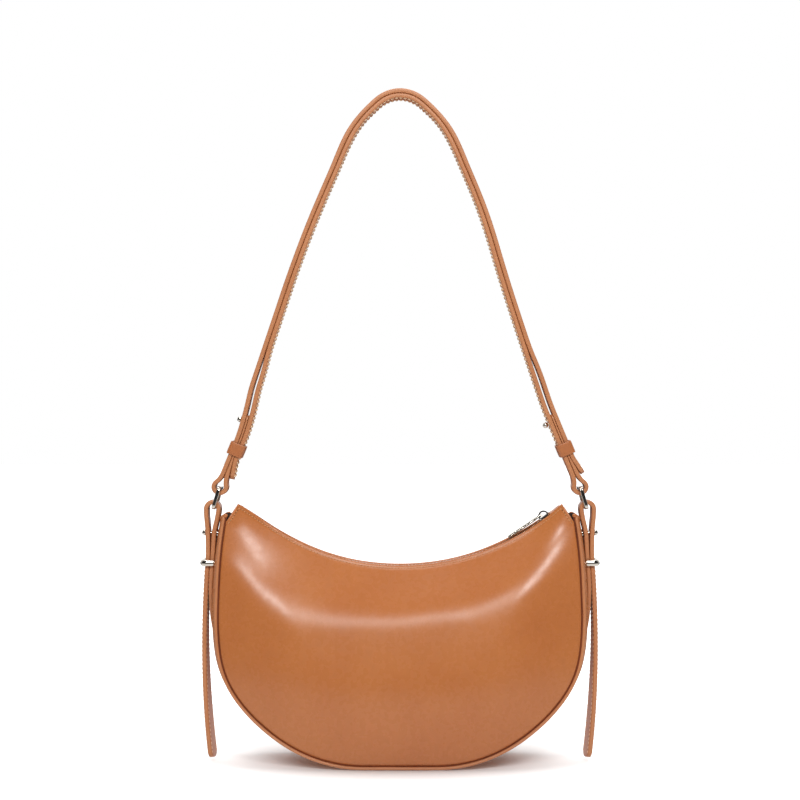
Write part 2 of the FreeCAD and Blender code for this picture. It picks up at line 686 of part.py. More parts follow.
# The shoulder strap's middle line, between its two layers
UPPER_END = TOP_TURN + UPPER_TURN
RUN_TURN = UPPER_END + LONG_TURN
KEEPER_TURN = RUN_TURN - BEND_TURN
ARCS_OUT = (TOP_R * sin(TOP_TURN)
            + UPPER_R * (sin(UPPER_END) - sin(TOP_TURN))
            + LONG_R * (sin(RUN_TURN) - sin(UPPER_END))
            + BEND_R * (sin(RUN_TURN) - sin(KEEPER_TURN))
            + KEEPER_RUN * cos(KEEPER_TURN))
RUN = (STRAP_EYE.x - ARCS_OUT) / cos(RUN_TURN)
SHIFT = SKIVED + LAYER_GAP
SHIFT_R = SHIFT / 2 / (1 - cos(SHIFT_TURN))


def left_spot(distance, outward):
    """A point of the left keeper run: a distance up from the loop, and out from the middle line."""
    x = -STRAP_EYE.x + distance * cos(KEEPER_TURN) - outward * sin(KEEPER_TURN)
    return Vector(x, 0, STRAP_EYE.z + distance * sin(KEEPER_TURN) + outward * cos(KEEPER_TURN))


def strap_trail(side):
    """One strap, from its loop round the left ring to its tail at the right.

    The outer strap has side 1. The inner strap has side -1 and is turned left to right afterwards.
    """
    out = side * HALF_LAYERS
    start = left_spot(LOOP_REACH, -out)
    trail = Trail(start.x, start.z, KEEPER_TURN + 180)
    trail.loop(side)
    trail.line(KEEPER_RUN - LOOP_REACH)
    trail.arc(BEND_R - out, BEND_TURN)
    trail.line(RUN)
    for radius, turn in ((LONG_R, LONG_TURN), (UPPER_R, UPPER_TURN), (TOP_R, 2 * TOP_TURN),
                         (UPPER_R, UPPER_TURN), (LONG_R, LONG_TURN)):
        trail.arc(radius + out, -turn)
    trail.line(SHIFT_FROM)
    trail.arc(SHIFT_R, side * SHIFT_TURN)
    trail.arc(SHIFT_R, -side * SHIFT_TURN)
    trail.line(RUN - SHIFT_FROM - 2 * SHIFT_R * sin(SHIFT_TURN))
    trail.arc(BEND_R - out - side * SHIFT, BEND_TURN)
    trail.line(KEEPER_RUN - TAIL_BEND_AT)
    trail.arc(TAIL_BEND_R, side * TAIL_TURN)
    trail.line(TAIL_STRAIGHT)
    return trail


def folded_layer(side):
    """The end of a strap that comes back from its loop, cut thin so that the stud can close it."""
    face = LAYER_GAP / 2
    corners = [left_spot(LOOP_REACH, -side * face), left_spot(FOLD_END, -side * face),
               left_spot(FOLD_END, -side * (face + SKIVED)), left_spot(TAPER_END, -side * (face + SKIVED)),
               left_spot(LOOP_REACH, -side * (face + STRAP))]
    return slab(Part.Face(Part.makePolygon(corners + corners[:1])), STRAP_WIDTH)


RUN_OUT = Vector(-sin(KEEPER_TURN), 0, cos(KEEPER_TURN))


def strap(side):
    trail = strap_trail(side)
    strip = trail.strip()
    strip = rounded_tip(strip, trail.x, trail.z).fuse(folded_layer(side)).removeSplitter()
    outward = RUN_OUT * side
    middle = left_spot(STRAP_STUD_AT, 0.0)
    strip = drilled(strip, middle, outward, STUD_R + PIN_HOLE, 2 * STRAP)
    inner_face = middle - outward * (LAYER_GAP / 2 + SKIVED)
    return drilled(strip, inner_face, outward, FLANGE_R + PIN_HOLE, FLANGE + SEAM_GAP)


def strap_stud(side):
    outward = RUN_OUT * side
    outer_face = left_spot(STRAP_STUD_AT, 0.0) + outward * (HALF_LAYERS + STRAP / 2)
    return stud(outer_face, outward, STRAP + LAYER_GAP + SKIVED - FLANGE)


def keeper(side):
    """A leather band round all the layers above the left ring."""
    inner_x = 2 * STRAP + LAYER_GAP + SHIFT + 2 * KEEPER_CLEAR
    inner_y = STRAP_WIDTH + 2 * KEEPER_CLEAR
    outer_x = inner_x + 2 * KEEPER
    outer_y = inner_y + 2 * KEEPER
    half = KEEPER_LENGTH / 2
    band = Part.makeBox(outer_x, outer_y, KEEPER_LENGTH, Vector(-outer_x / 2, -outer_y / 2, -half))
    corners = [e for e in band.Edges if abs(e.tangentAt(e.FirstParameter).z) > 0.99]
    band = band.makeFillet(KEEPER_ROUND, corners)
    opening = Vector(-inner_x / 2, -inner_y / 2, -KEEPER_LENGTH)
    band = band.cut(Part.makeBox(inner_x, inner_y, 2 * KEEPER_LENGTH, opening))
    band.rotate(Vector(0, 0, 0), Vector(0, 1, 0), 90 - KEEPER_TURN)
    band.translate(left_spot(KEEPER_AT, -side * SHIFT / 2))
    return band


def build():
    parts = {}
    parts["front_panel"] = front_sheet(0.0, PANEL, 0.0, 0.0)
    parts["back_panel"] = mirror_y(parts["front_panel"])
    shell = bridge_holes(long_strip(0.0, GUSSET, PANEL + SEAM_GAP))
    parts["gusset"] = mirror_x(bridge_holes(mirror_x(shell)))
    parts["front_piping"] = piping()
    parts["back_piping"] = mirror_y(parts["front_piping"])
    lining_out = GUSSET + POCKET_GAP
    parts["front_lining"] = front_sheet(PANEL + LINING_GAP, LINING, lining_out - LINING_GAP, LINING_DROP)
    parts["back_lining"] = mirror_y(parts["front_lining"])
    parts["gusset_lining"] = long_strip(lining_out, LINING, PANEL + LINING + 2 * LINING_GAP)
    parts["front_zip_tape"] = front_tape()
    parts["back_zip_tape"] = mirror_y(parts["front_zip_tape"])
    parts["front_zip_teeth"] = front_teeth(0.0)
    parts["back_zip_teeth"] = mirror_y(front_teeth(0.5))
    parts["zip_stops"] = zip_stops()
    parts["right_zip_tab"] = right_tab()
    parts["left_zip_tab"] = mirror_x(parts["right_zip_tab"])
    parts["zip_slider"] = slider()
    parts["zip_puller"] = puller()
    right = {"strap_anchor": side_layer(0, 3), "side_loop": SIDE.strip(3, 8),
             "bridge_layer": side_layer(8, 9), "tail": side_tail(), "bridge": bridge(),
             "back_plate": back_plate(), "side_stud": side_stud(), "ring": ring()}
    for name, shape in right.items():
        parts["right_" + name] = shape
        parts["left_" + name] = mirror_x(shape)
    parts["outer_strap"] = strap(1)
    parts["inner_strap"] = mirror_x(strap(-1))
    parts["left_strap_stud"] = strap_stud(1)
    parts["right_strap_stud"] = mirror_x(strap_stud(-1))
    parts["left_keeper"] = keeper(1)
    parts["right_keeper"] = mirror_x(keeper(-1))
    return parts


os.makedirs("parts", exist_ok=True)
for part_name, part_shape in build().items():
    part_shape.exportStep("parts/" + part_name + ".step")
    print(part_name, part_shape.isValid(), len(part_shape.Solids), round(part_shape.Volume, 1))
tail_top = SIDE.point(SIDE.runs[9], 0.0, STRAP / 2)
pivot = on_zip(Part.Vertex(-PIVOT_BACK, 0, PIVOT_HEIGHT), SLIDER_AT).Point
print("zip turns about", ZIP_MIDDLE, "puller about", pivot, "tail about", tail_top)
print("ring bars", RING_LOW, RING_HIGH, "strap loop", STRAP_EYE, "fold at", PINCH + NODE_GAP / 2)
print("keeper run", KEEPER_TURN, "long run", RUN)
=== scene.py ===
# %% [markdown]
# # A half moon bag in tan leather
# This lesson dresses a small shoulder bag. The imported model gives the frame: every solid already stands in its
# place, in metres, and turns on its own joint. Studs, slider and teeth keep their solids and get a finish. All the
# leather and cloth is made here again, softer and finer, and so are the rings, bridges and puller. Each new piece
# takes the place of its plain solids.

# %% Load the frame
import math
import bmesh
import bpy
import numpy as np
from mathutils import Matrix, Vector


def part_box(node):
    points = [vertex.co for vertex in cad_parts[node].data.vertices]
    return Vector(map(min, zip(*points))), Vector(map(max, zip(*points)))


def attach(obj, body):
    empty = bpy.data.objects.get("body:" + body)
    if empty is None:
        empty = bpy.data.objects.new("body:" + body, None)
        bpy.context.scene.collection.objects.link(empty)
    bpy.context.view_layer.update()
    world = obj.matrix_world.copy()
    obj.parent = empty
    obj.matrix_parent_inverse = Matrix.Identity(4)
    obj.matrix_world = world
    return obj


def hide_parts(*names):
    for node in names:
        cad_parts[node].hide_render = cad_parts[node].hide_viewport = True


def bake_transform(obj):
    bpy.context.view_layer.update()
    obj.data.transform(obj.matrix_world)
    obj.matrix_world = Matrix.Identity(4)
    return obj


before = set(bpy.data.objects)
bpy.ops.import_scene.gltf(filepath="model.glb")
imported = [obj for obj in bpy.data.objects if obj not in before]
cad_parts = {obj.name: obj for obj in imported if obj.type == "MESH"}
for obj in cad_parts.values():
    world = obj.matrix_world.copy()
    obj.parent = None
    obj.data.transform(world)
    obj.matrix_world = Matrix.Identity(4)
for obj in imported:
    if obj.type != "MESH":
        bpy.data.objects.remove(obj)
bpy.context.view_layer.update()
scene = bpy.context.scene
scene.view_settings.view_transform = "Standard"
SIDES = (("right", 1.0), ("left", -1.0))
FACES = (("front", 1.0), ("back", -1.0))

# %% [markdown]
# ## Helpers for shader trees
# Each finish is a small tree of nodes. One helper adds a node and fills its sockets, so that the trees below read
# like a list. Sizes in a texture are per metre, because the object is in metres: a scale of 1000 is one
# pattern cell in each millimetre.

# %% Shader helpers
def fill(tree, socket, value):
    """Gives a socket a value, or links it to the output that feeds it."""
    if isinstance(value, bpy.types.NodeSocket):
        tree.links.new(value, socket)
    else:
        socket.default_value = value


def dress(tree, node, **sockets):
    """Fills the named sockets of a node."""
    for key, value in sockets.items():
        fill(tree, node.inputs[key.replace("_", " ")], value)
    return node


def add_node(tree, kind, settings=None, **sockets):
    """A node with its settings and sockets filled."""
    made = tree.nodes.new("ShaderNode" + kind)
    for key, value in (settings or {}).items():
        setattr(made, key, value)
    return dress(tree, made, **sockets)


def new_finish(name):
    """An empty material, its tree, its shader and the place on the object."""
    material = bpy.data.materials.new(name)
    material.use_nodes = True
    tree = material.node_tree
    return material, tree, tree.nodes["Principled BSDF"], add_node(tree, "TexCoord").outputs["Object"]


def noise(tree, place, scale, detail, rough=0.5):
    """Cloudy noise."""
    return add_node(tree, "TexNoise", None, Vector=place, Scale=scale, Detail=detail, Roughness=rough).outputs[0]


def bump(tree, height, strength, depth, **under):
    """Fine relief, which may lie on other relief."""
    return add_node(tree, "Bump", None, Height=height, Strength=strength, Distance=depth, **under).outputs[0]


def maths(tree, operation, first, second):
    """Two outputs taken together."""
    made = add_node(tree, "Math", {"operation": operation})
    fill(tree, made.inputs[0], first)
    fill(tree, made.inputs[1], second)
    return made.outputs[0]


def blend_colours(tree, factor, first, second):
    """A colour between two colours, each a value or an output."""
    mix = add_node(tree, "Mix", {"data_type": "RGBA"})
    for k, value in ((0, factor), (6, first), (7, second)):
        fill(tree, mix.inputs[k], value)
    return mix.outputs[2]


def spread(tree, source, low, high, to_low=0.0, to_high=1.0):
    """Values between low and high, stretched to another range."""
    return add_node(tree, "MapRange", None, Value=source, From_Min=low, From_Max=high, To_Min=to_low,
                    To_Max=to_high).outputs[0]


def tone(red, green, blue):
    """A colour given as it looks on a screen, in bytes, turned into the linear values that shaders take."""
    return tuple(((c / 255 + 0.055) / 1.055) ** 2.4 if c > 10 else c / 3294.6 for c in (red, green, blue)) + (1.0,)


print("a tan of 190, 116, 68 is", [round(c, 3) for c in tone(190, 116, 68)])

# %% [markdown]
# ## Leather
# The hide is dyed tan, smooth and finished with a satin top coat. A real hide is never one colour: broad clouds
# come from the dye, and a fine grain of tiny cells from the skin. An image of leather would show its repeats, so
# clouds and grain come from noise at several scales. The grain is relief, so it shows most where light grazes the
# surface.

# %% Leather finish
def leather(name, light, dark, rough, grain):
    """Tan leather between two tones, with a roughness and a depth of grain."""
    material, tree, shader, place = new_finish(name)
    clouds, mottle = noise(tree, place, 16.0, 5.0, 0.55), noise(tree, place, 170.0, 4.0, 0.6)
    cells = add_node(tree, "TexVoronoi", {"feature": "SMOOTH_F1"}, Vector=place, Scale=3000.0, Randomness=1.0)
    fine = noise(tree, place, 5200.0, 3.0, 0.6)
    hide = blend_colours(tree, spread(tree, clouds, 0.34, 0.66), light, dark)
    darker = tuple(c * 0.86 for c in dark[:3]) + (1.0,)
    colour = blend_colours(tree, spread(tree, mottle, 0.55, 0.85, 0.0, 0.35), hide, darker)
    relief = bump(tree, fine, grain * 0.6, 0.00003, Normal=bump(tree, cells.outputs[0], grain, 0.00006))
    dress(tree, shader, Base_Color=colour, Normal=relief,
          Roughness=spread(tree, mottle, 0.25, 0.75, rough - 0.03, rough + 0.04))
    return material


PANEL_LEATHER = leather("satin tan leather", tone(199, 122, 68), tone(192, 114, 62), 0.27, 0.10)
# Painted shade: a near black brown that stands for the shade deep in a seam, where the gusset's rim lies.
SEAM_SHADE_LEATHER = leather("leather darkened as painted seam shade", tone(122, 52, 12), tone(106, 44, 9), 0.85, 0.05)
STRAP_LEATHER = leather("strap leather", tone(193, 119, 71), tone(186, 111, 65), 0.36, 0.05)
# Painted light: the panels' leather made paler, for the lit top of the piping bead.
LIT_PIPING_LEATHER = leather("piping leather made paler as painted light", tone(206, 136, 90), tone(198, 127, 82), 0.36, 0.08)
print("leathers:", PANEL_LEATHER.name, "|", STRAP_LEATHER.name, "|", LIT_PIPING_LEATHER.name)

# %% [markdown]
# ## Painted edges
# The cut edge of a strap shows two layers of hide. A maker sands it and closes it with edge paint in nearly the
# same tan, a little paler and pinker. It is a finish of its own, so that the faces on the rim of a strap can take it.

# %% Edge paint finish
def edge_paint():
    """Sealed strap edges: paler than the face, with faint streaks of the fibres."""
    material, tree, shader, place = new_finish("edge paint")
    patches, fibres = noise(tree, place, 40.0, 4.0), noise(tree, place, 140.0, 3.0)
    paint = blend_colours(tree, spread(tree, patches, 0.3, 0.7), tone(206, 138, 92), tone(198, 129, 84))
    worn = blend_colours(tree, spread(tree, fibres, 0.55, 0.85, 0.0, 0.15), paint, tone(182, 112, 70))
    dress(tree, shader, Base_Color=worn, Roughness=spread(tree, fibres, 0.3, 0.7, 0.36, 0.44),
          Normal=bump(tree, fibres, 0.04, 0.00003))
    return material


EDGE_PAINT = edge_paint()
print("edge finish:", EDGE_PAINT.name)

# %% [markdown]
# ## Thread, cloth and metal
# A few more finishes are needed. Waxed thread is twisted, so fine slanting lines cross it. The lining and the zip
# tape are woven, which two crossed waves give. The hardware is polished and pale, with the faint hairlines that
# handling leaves.

# %% Thread, cloth and metal finishes
def waxed_thread(name, light, dark):
    """Twisted thread, tan and paler than the leather."""
    material, tree, shader, place = new_finish(name)
    twist = add_node(tree, "TexWave", {"bands_direction": "DIAGONAL"}, Vector=place, Scale=420.0, Distortion=1.5,
                     Detail=2.0).outputs[1]
    fluff = noise(tree, place, 500.0, 3.0)
    soiled = spread(tree, fluff, 0.5, 0.8, 0.0, 0.3)
    colour = blend_colours(tree, soiled, blend_colours(tree, twist, light, dark), tone(186, 128, 86))
    dress(tree, shader, Base_Color=colour, Roughness=spread(tree, fluff, 0.3, 0.7, 0.45, 0.6),
          Normal=bump(tree, twist, 0.5, 0.0001))
    return material


def woven_cloth(name, light, dark, threads):
    """Plain weave, with a number of threads in each metre."""
    material, tree, shader, place = new_finish(name)
    warp, weft = (add_node(tree, "TexWave", {"bands_direction": way}, Vector=place, Scale=threads / 20,
                           Distortion=0.4).outputs[1] for way in "XZ")
    weave = maths(tree, "MAXIMUM", warp, weft)
    slubs = noise(tree, place, 130.0, 4.0)
    worn = spread(tree, slubs, 0.45, 0.8, 0.0, 0.5)
    colour = blend_colours(tree, worn, blend_colours(tree, weave, dark, light), dark)
    dress(tree, shader, Base_Color=colour, Roughness=spread(tree, slubs, 0.3, 0.7, 0.75, 0.9),
          Normal=bump(tree, weave, 0.4, 0.0001), Sheen_Weight=0.25)
    return material


def polished_metal():
    """Pale polished metal with hairlines and a trace of wear."""
    material, tree, shader, place = new_finish("polished pale metal")
    stretched = add_node(tree, "Mapping", None, Vector=place, Scale=(1.0, 1.0, 9.0)).outputs[0]
    hairlines, patches = noise(tree, stretched, 260.0, 5.0), noise(tree, place, 80.0, 3.0)
    colour = blend_colours(tree, spread(tree, patches, 0.35, 0.7), tone(226, 220, 210), tone(208, 199, 186))
    dress(tree, shader, Base_Color=colour, Roughness=spread(tree, hairlines, 0.3, 0.75, 0.07, 0.2),
          Normal=bump(tree, hairlines, 0.05, 0.00005), Metallic=1.0)
    return material


def needle_hole():
    """Painted shade: the dark of the dent that a needle leaves beside a stitch."""
    material, tree, shader, place = new_finish("painted needle hole shade")
    colour = blend_colours(tree, noise(tree, place, 700.0, 2.0), tone(74, 42, 23), tone(108, 63, 36))
    dress(tree, shader, Base_Color=colour, Roughness=0.8)
    return material


THREAD = waxed_thread("waxed thread", tone(226, 172, 120), tone(208, 150, 100))
# Painted light: a paler copy of the same thread, for stitches on undersides that sit in shade.
LIT_THREAD = waxed_thread("waxed thread with painted light", tone(246, 218, 182), tone(230, 196, 156))
NEEDLE_HOLE_SHADE = needle_hole()
# Partly painted shade: a dark lining, made darker still to stand for the shade inside the bag and its corners.
SHADED_LINING_CLOTH = woven_cloth("lining cloth darkened as painted shade", tone(50, 34, 24), tone(33, 22, 16), 1800.0)
TAPE_CLOTH = woven_cloth("zip tape cloth", tone(140, 92, 62), tone(96, 60, 40), 2600.0)
METAL = polished_metal()
metal_nodes = [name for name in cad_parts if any(word in name for word in (
    "teeth", "stops", "slider", "puller", "bridge", "back_plate", "stud", "ring")) and "layer" not in name]
for name in metal_nodes:
    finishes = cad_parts[name].data.materials
    finishes.clear()
    finishes.append(METAL)
print("metal on", len(metal_nodes), "solids:", ", ".join(sorted(metal_nodes)[:6]), "and so on")

# %% [markdown]
# ## The line of the body
# Seen from the front the bag is a half moon. Its seam runs down one side, round the base and up the other side, as
# smooth arcs that meet without a corner. A walker that only knows how far to go and how much to turn draws such a
# line well: each arc starts in the direction in which the last one ended. All sizes are in millimetres, and a mesh is
# turned into metres when it is made.

# %% The walker
def sine(degrees):
    return math.sin(math.radians(degrees))


def cosine(degrees):
    return math.cos(math.radians(degrees))


class Walk:
    """A line of straight runs and arcs in the plane of the bag's front. A turn to the left is positive."""

    def __init__(self, x, z, heading):
        self.x, self.z, self.heading = x, z, math.radians(heading)
        self.steps = [(x, z, self.heading, 0.0)]
        self.gone = 0.0

    def line(self, length, every=4.0):
        count = max(2, math.ceil(length / every))
        for i in range(1, count + 1):
            reach = length * i / count
            self.steps.append((self.x + reach * math.cos(self.heading), self.z + reach * math.sin(self.heading),
                               self.heading, self.gone + reach))
        self.close(self.steps[-1])

    def arc(self, radius, turn, every=4.0):
        angle = math.radians(turn)
        side = math.copysign(radius, angle)
        count = max(2, math.ceil(radius * abs(angle) / every), math.ceil(abs(turn) / 7))
        for i in range(1, count + 1):
            there = self.heading + angle * i / count
            self.steps.append((self.x + side * (math.sin(there) - math.sin(self.heading)),
                               self.z - side * (math.cos(there) - math.cos(self.heading)), there,
                               self.gone + radius * abs(angle) * i / count))
        self.close(self.steps[-1])

    def close(self, last):
        self.x, self.z, self.heading, self.gone = last

    def drop_loop(self, side):
        """A drop shaped loop round a ring's bar."""
        self.arc(LOOP_OPENING, side * FLARE, LOOP_STEP)
        self.arc(LOOP_R, -side * (180 + 2 * FLARE), LOOP_STEP)
        self.arc(LOOP_OPENING, side * FLARE, LOOP_STEP)

    def table(self):
        """x, z, heading and length gone, one row for each point."""
        return np.array(self.steps)


HALF_WIDTH, WIDEST, BASE_HALF, SHOULDER = 142.0, 122.5, 28.0, 188.0
LOWER_TURN, SIDE_LEAN = 65.0, 10.0
SIDE_R = (SHOULDER - WIDEST) / sine(SIDE_LEAN)
SEAM_STEP, LOOP_STEP = 1.5, 1.2


def lower_radii(half_width, rise):
    """The two radii between the widest place and the base."""
    change = (half_width - rise - BASE_HALF) / (sine(LOWER_TURN) + cosine(LOWER_TURN) - 1)
    upper = half_width - BASE_HALF - change * sine(LOWER_TURN)
    return upper + change, upper


def body_line(half_width, base, count, past=0.0):
    """The seam from the left shoulder round the base to the right one: x, height and heading at even steps.
    It may run on straight past both shoulders."""
    low, high = lower_radii(half_width, WIDEST - base)
    walk = Walk(-half_width + SIDE_R * (1 - cosine(SIDE_LEAN)) + past * sine(SIDE_LEAN),
                SHOULDER + past * cosine(SIDE_LEAN), 270 - SIDE_LEAN)
    half = ((SIDE_R, SIDE_LEAN), (high, 90 - LOWER_TURN), (low, LOWER_TURN))
    walk.line(past, SEAM_STEP)
    for radius, turn in half:
        walk.arc(radius, turn, SEAM_STEP)
    walk.line(2 * BASE_HALF, SEAM_STEP)
    for radius, turn in half[::-1]:
        walk.arc(radius, turn, SEAM_STEP)
    walk.line(past, SEAM_STEP)
    rows = walk.table()
    even = np.linspace(0, rows[-1, 3], count)
    return [np.interp(even, rows[:, 3], rows[:, k]) for k in range(3)]


seam_heights = body_line(HALF_WIDTH, 0.0, 9)[1]
print("seam heights at nine even places:", [round(float(z), 1) for z in seam_heights])

# %% [markdown]
# ## Mesh helpers
# Nearly every soft piece here is a grid of points: a sheet, a tube or a strip with a closed section. One helper
# names the faces of such a grid, one makes the object and sets its finish, and one lets it ride on a body and hides
# the solids it stands for.

# %% Mesh helpers
RIM_ROUND = 0.28


def smooth(share):
    """Nought below nought, one above one, and a soft step between."""
    share = np.clip(share, 0, 1)
    return share * share * (3 - 2 * share)


def hump(off, wide):
    """One at the middle, falling softly to nothing on both sides."""
    return np.exp(-(off / wide) ** 2)


def box_mm(node):
    """The lowest and highest corner of a solid, in millimetres."""
    return [np.array(corner) * 1000 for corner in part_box(node)]


def grid_faces(rows, columns, close_rows=False, close_columns=False):
    """The four cornered faces of a grid of points, which may close on itself either way."""
    down = np.arange(rows if close_rows else rows - 1)
    along = np.arange(columns if close_columns else columns - 1)
    i, j = [k.ravel() for k in np.meshgrid(down, along, indexing="ij")]
    i2, j2 = (i + 1) % rows, (j + 1) % columns
    return np.stack([i * columns + j, i * columns + j2, i2 * columns + j2, i2 * columns + j], axis=1)


def capped(rings):
    """The points and faces of a tube through rings of points, closed at both ends."""
    sides, points = len(rings[0]), np.concatenate(rings)
    faces = [list(f) for f in grid_faces(len(rings), sides, False, True)]
    return points, faces + [list(range(sides))[::-1], [len(points) - sides + j for j in range(sides)]]


def show(name, data):
    """An object in the scene that shows a mesh, a lamp or a camera."""
    made = bpy.data.objects.new(name, data)
    scene.collection.objects.link(made)
    return made


def make_mesh(name, points, faces, finishes, picks=None, closed=True):
    """A mesh object from points in millimetres. Picks gives the finish of each face. A closed one faces outwards."""
    mesh = bpy.data.meshes.new(name)
    mesh.from_pydata((np.asarray(points, float) * 0.001).tolist(), [], [list(map(int, f)) for f in faces])
    for finish in finishes:
        mesh.materials.append(finish)
    if picks is not None:
        mesh.polygons.foreach_set("material_index", np.asarray(picks, dtype=np.int32))
    mesh.polygons.foreach_set("use_smooth", np.ones(len(mesh.polygons), dtype=bool))
    mesh.validate()
    if closed:
        work = bmesh.new()
        work.from_mesh(mesh)
        bmesh.ops.recalc_face_normals(work, faces=work.faces)
        work.to_mesh(mesh)
        work.free()
    mesh.update()
    return show(name, mesh)


def thick_sheet(name, outer, inner, finishes):
    """A closed sheet from an outer and an inner grid of points, with a rounded rim between them. The rim takes the
    last finish."""
    rows, columns = outer.shape[:2]
    ring = [(0, j) for j in range(columns)] + [(i, columns - 1) for i in range(1, rows)]
    ring += [(rows - 1, j) for j in range(columns - 2, -1, -1)] + [(i, 0) for i in range(rows - 2, 0, -1)]
    count = rows * columns
    faces = grid_faces(rows, columns)
    top = np.array([i * columns + j for i, j in ring])
    outer_rim, inner_rim = outer.reshape(-1, 3)[top], inner.reshape(-1, 3)[top]
    middle = (outer_rim + inner_rim) / 2
    further_in = np.array([outer[min(max(i, 1), rows - 2), min(max(j, 1), columns - 2)] for i, j in ring])
    away = middle - (inner_rim + further_in) / 2
    length = np.maximum(np.linalg.norm(away, axis=1, keepdims=True), 1e-6)
    thick = np.linalg.norm(outer[0, 0] - inner[0, 0])
    points = [outer.reshape(-1, 3), inner.reshape(-1, 3), middle + away / length * thick * RIM_ROUND]
    lip = np.arange(len(ring)) + 2 * count
    after = np.roll(np.arange(len(ring)), -1)
    every = np.concatenate([faces, faces[:, ::-1] + count, np.stack([top[after], top, lip, lip[after]], axis=1),
                            np.stack([lip[after], lip, top + count, top[after] + count], axis=1)])
    picks = np.where(np.arange(len(every)) < 2 * len(faces), 0, len(finishes) - 1)
    return make_mesh(name, np.concatenate(points), every, finishes, picks)


def settle(piece, body, nodes=()):
    """The piece rides on a body and hides the solids it stands for."""
    if body:
        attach(piece, body)
    if nodes:
        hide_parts(*nodes)
    return piece


print("a grid of 3 by 4 points has", len(grid_faces(3, 4)), "faces")

# %% [markdown]
# ## How the panels bulge
# Front and back are flat when they are cut. Sewn to a gusset and filled, each one swells away from its seam,
# and near the mouth it is pulled back in by the zip. Between the two a soft ridge forms. It follows the mouth at a
# steady distance and then climbs to both shoulders, where the light catches it as bright streaks. A height field over
# the flat pattern gives this: one curve for the distance from the seam, one for the distance below the mouth.

# %% The height field of a panel
SEAM_BASE, SEAM_TOP, BASE_LIFT = 38.0, 14.0, 2.6
TILT = math.asin((SEAM_BASE - SEAM_TOP) / SHOULDER)
CORNER_HALF, CORNER, MOUTH_DIP = 127.0, 203.0, 48.0
MOUTH_R = (CORNER_HALF ** 2 + MOUTH_DIP ** 2) / (2 * MOUTH_DIP)
MOUTH_MIDDLE = CORNER - MOUTH_DIP
LOW_R, HIGH_R = lower_radii(HALF_WIDTH, WIDEST)
MOUTH_SUNK, MOUTH_SLOPE, SLOPE_LOSS = 10.0, 0.56, 0.45
RIDGE, RIDGE_SOFT = 46.0, 0.65
RIDGE_X = (-130, -110, -90, -65, -35, 0, 35, 65, 90, 110, 130)
RIDGE_BELOW = (55.7, 62.0, 62.0, 53.9, 47.6, 45.5, 42.7, 48.5, 47.2, 44.6, 45.2)
LEFT_ROLL, RIGHT_ROLL, ROLL_FROM = 4.0, 5.0, 67.0
PARED, SLIDER_STOP, SWELL_NEAR, SWELL_FURTHER = 1.05, -108.0, 40, 30
depth = np.linspace(0, 200, 2001)
slope = MOUTH_SLOPE - SLOPE_LOSS * smooth((depth - 26) / 30)
slope *= 1 - np.clip((depth - 56) / 45, 0, 1)
PROFILE = -MOUTH_SUNK + np.concatenate([[0], np.cumsum((slope[1:] + slope[:-1]) / 2 * 0.1)])


def seam_distance(x, w):
    """How far a place on the flat panel is inside its seam."""
    x = np.abs(x)
    side = SIDE_R - np.hypot(x - HALF_WIDTH + SIDE_R, w - WIDEST)
    low = LOW_R - np.hypot(x - BASE_HALF, w - LOW_R)
    high = HIGH_R - np.hypot(x - HALF_WIDTH + HIGH_R, w - WIDEST)
    turned = np.degrees(np.arctan2(x - BASE_HALF, LOW_R - w))
    below = np.where(x < BASE_HALF, w, np.where(turned < LOWER_TURN, low, high))
    return np.maximum(np.where(w > WIDEST, side, below), 0.0)


def below_mouth(x, w):
    """How far a place on the flat panel is below the edge of its mouth."""
    return np.hypot(x, w - MOUTH_MIDDLE - MOUTH_R) - MOUTH_R


def ridge_depth(x, below):
    """The place on the profile. The ridge wanders up and down along the panel and is softer at the flanks."""
    at = sum(np.interp(x + shift, RIDGE_X, RIDGE_BELOW) for shift in (-14, -7, 0, 7, 14)) / 5
    soft = 1 - (1 - RIDGE_SOFT) * smooth((np.abs(x) - 35) / 60)
    share = np.minimum(below / at, 1)
    above = RIDGE * share + (soft * at - RIDGE) * share * share * (share - 1)
    return np.where(below < at, above, RIDGE + (below - at) * soft)


def puff(x, w):
    """How far the panel stands out of the plane of its seam. Its flanks roll back."""
    below = np.maximum(below_mouth(x, w), 0.0)
    reach = SWELL_NEAR + SWELL_FURTHER * np.clip((below - 15) / 60, 0, 1)
    side = np.clip(seam_distance(x, w) / reach, 0, 1)
    roll = np.where(x < 0, LEFT_ROLL, RIGHT_ROLL) * (np.maximum(np.abs(x) - ROLL_FROM, 0) / 60) ** 2
    return side * (2 - side) * (np.interp(ridge_depth(x, below), depth, PROFILE) - roll * smooth((below - 8) / 30))


def pared(x, w):
    """How much thinner the leather is inside the mouth at the left, where the zip's slider stops."""
    below = np.maximum(below_mouth(x, w), 0.0)
    return PARED * hump(x - SLIDER_STOP, 19) * hump(below, 18)


def seat(x, y, w):
    """A point of the flat front panel, put in its leaning place on the bag."""
    return np.stack([x, -SEAM_BASE + y * math.cos(TILT) + w * math.sin(TILT),
                     BASE_LIFT - y * math.sin(TILT) + w * math.cos(TILT)], axis=-1)


print("the panel stands", round(float(PROFILE.max()), 1), "mm proud of its seam")

# %% [markdown]
# ## Front and back panel
# The panel has four sides: the long seam, the curved mouth and two short slanted corners. Straight lines from the
# seam to the mouth cover it with a grid that has no holes and no crowded places. The rows are closer near the mouth,
# where the turned edge and the furrow of the stitching need them. The back is the same sheet mirrored, with a mouth
# that has eased a little more.

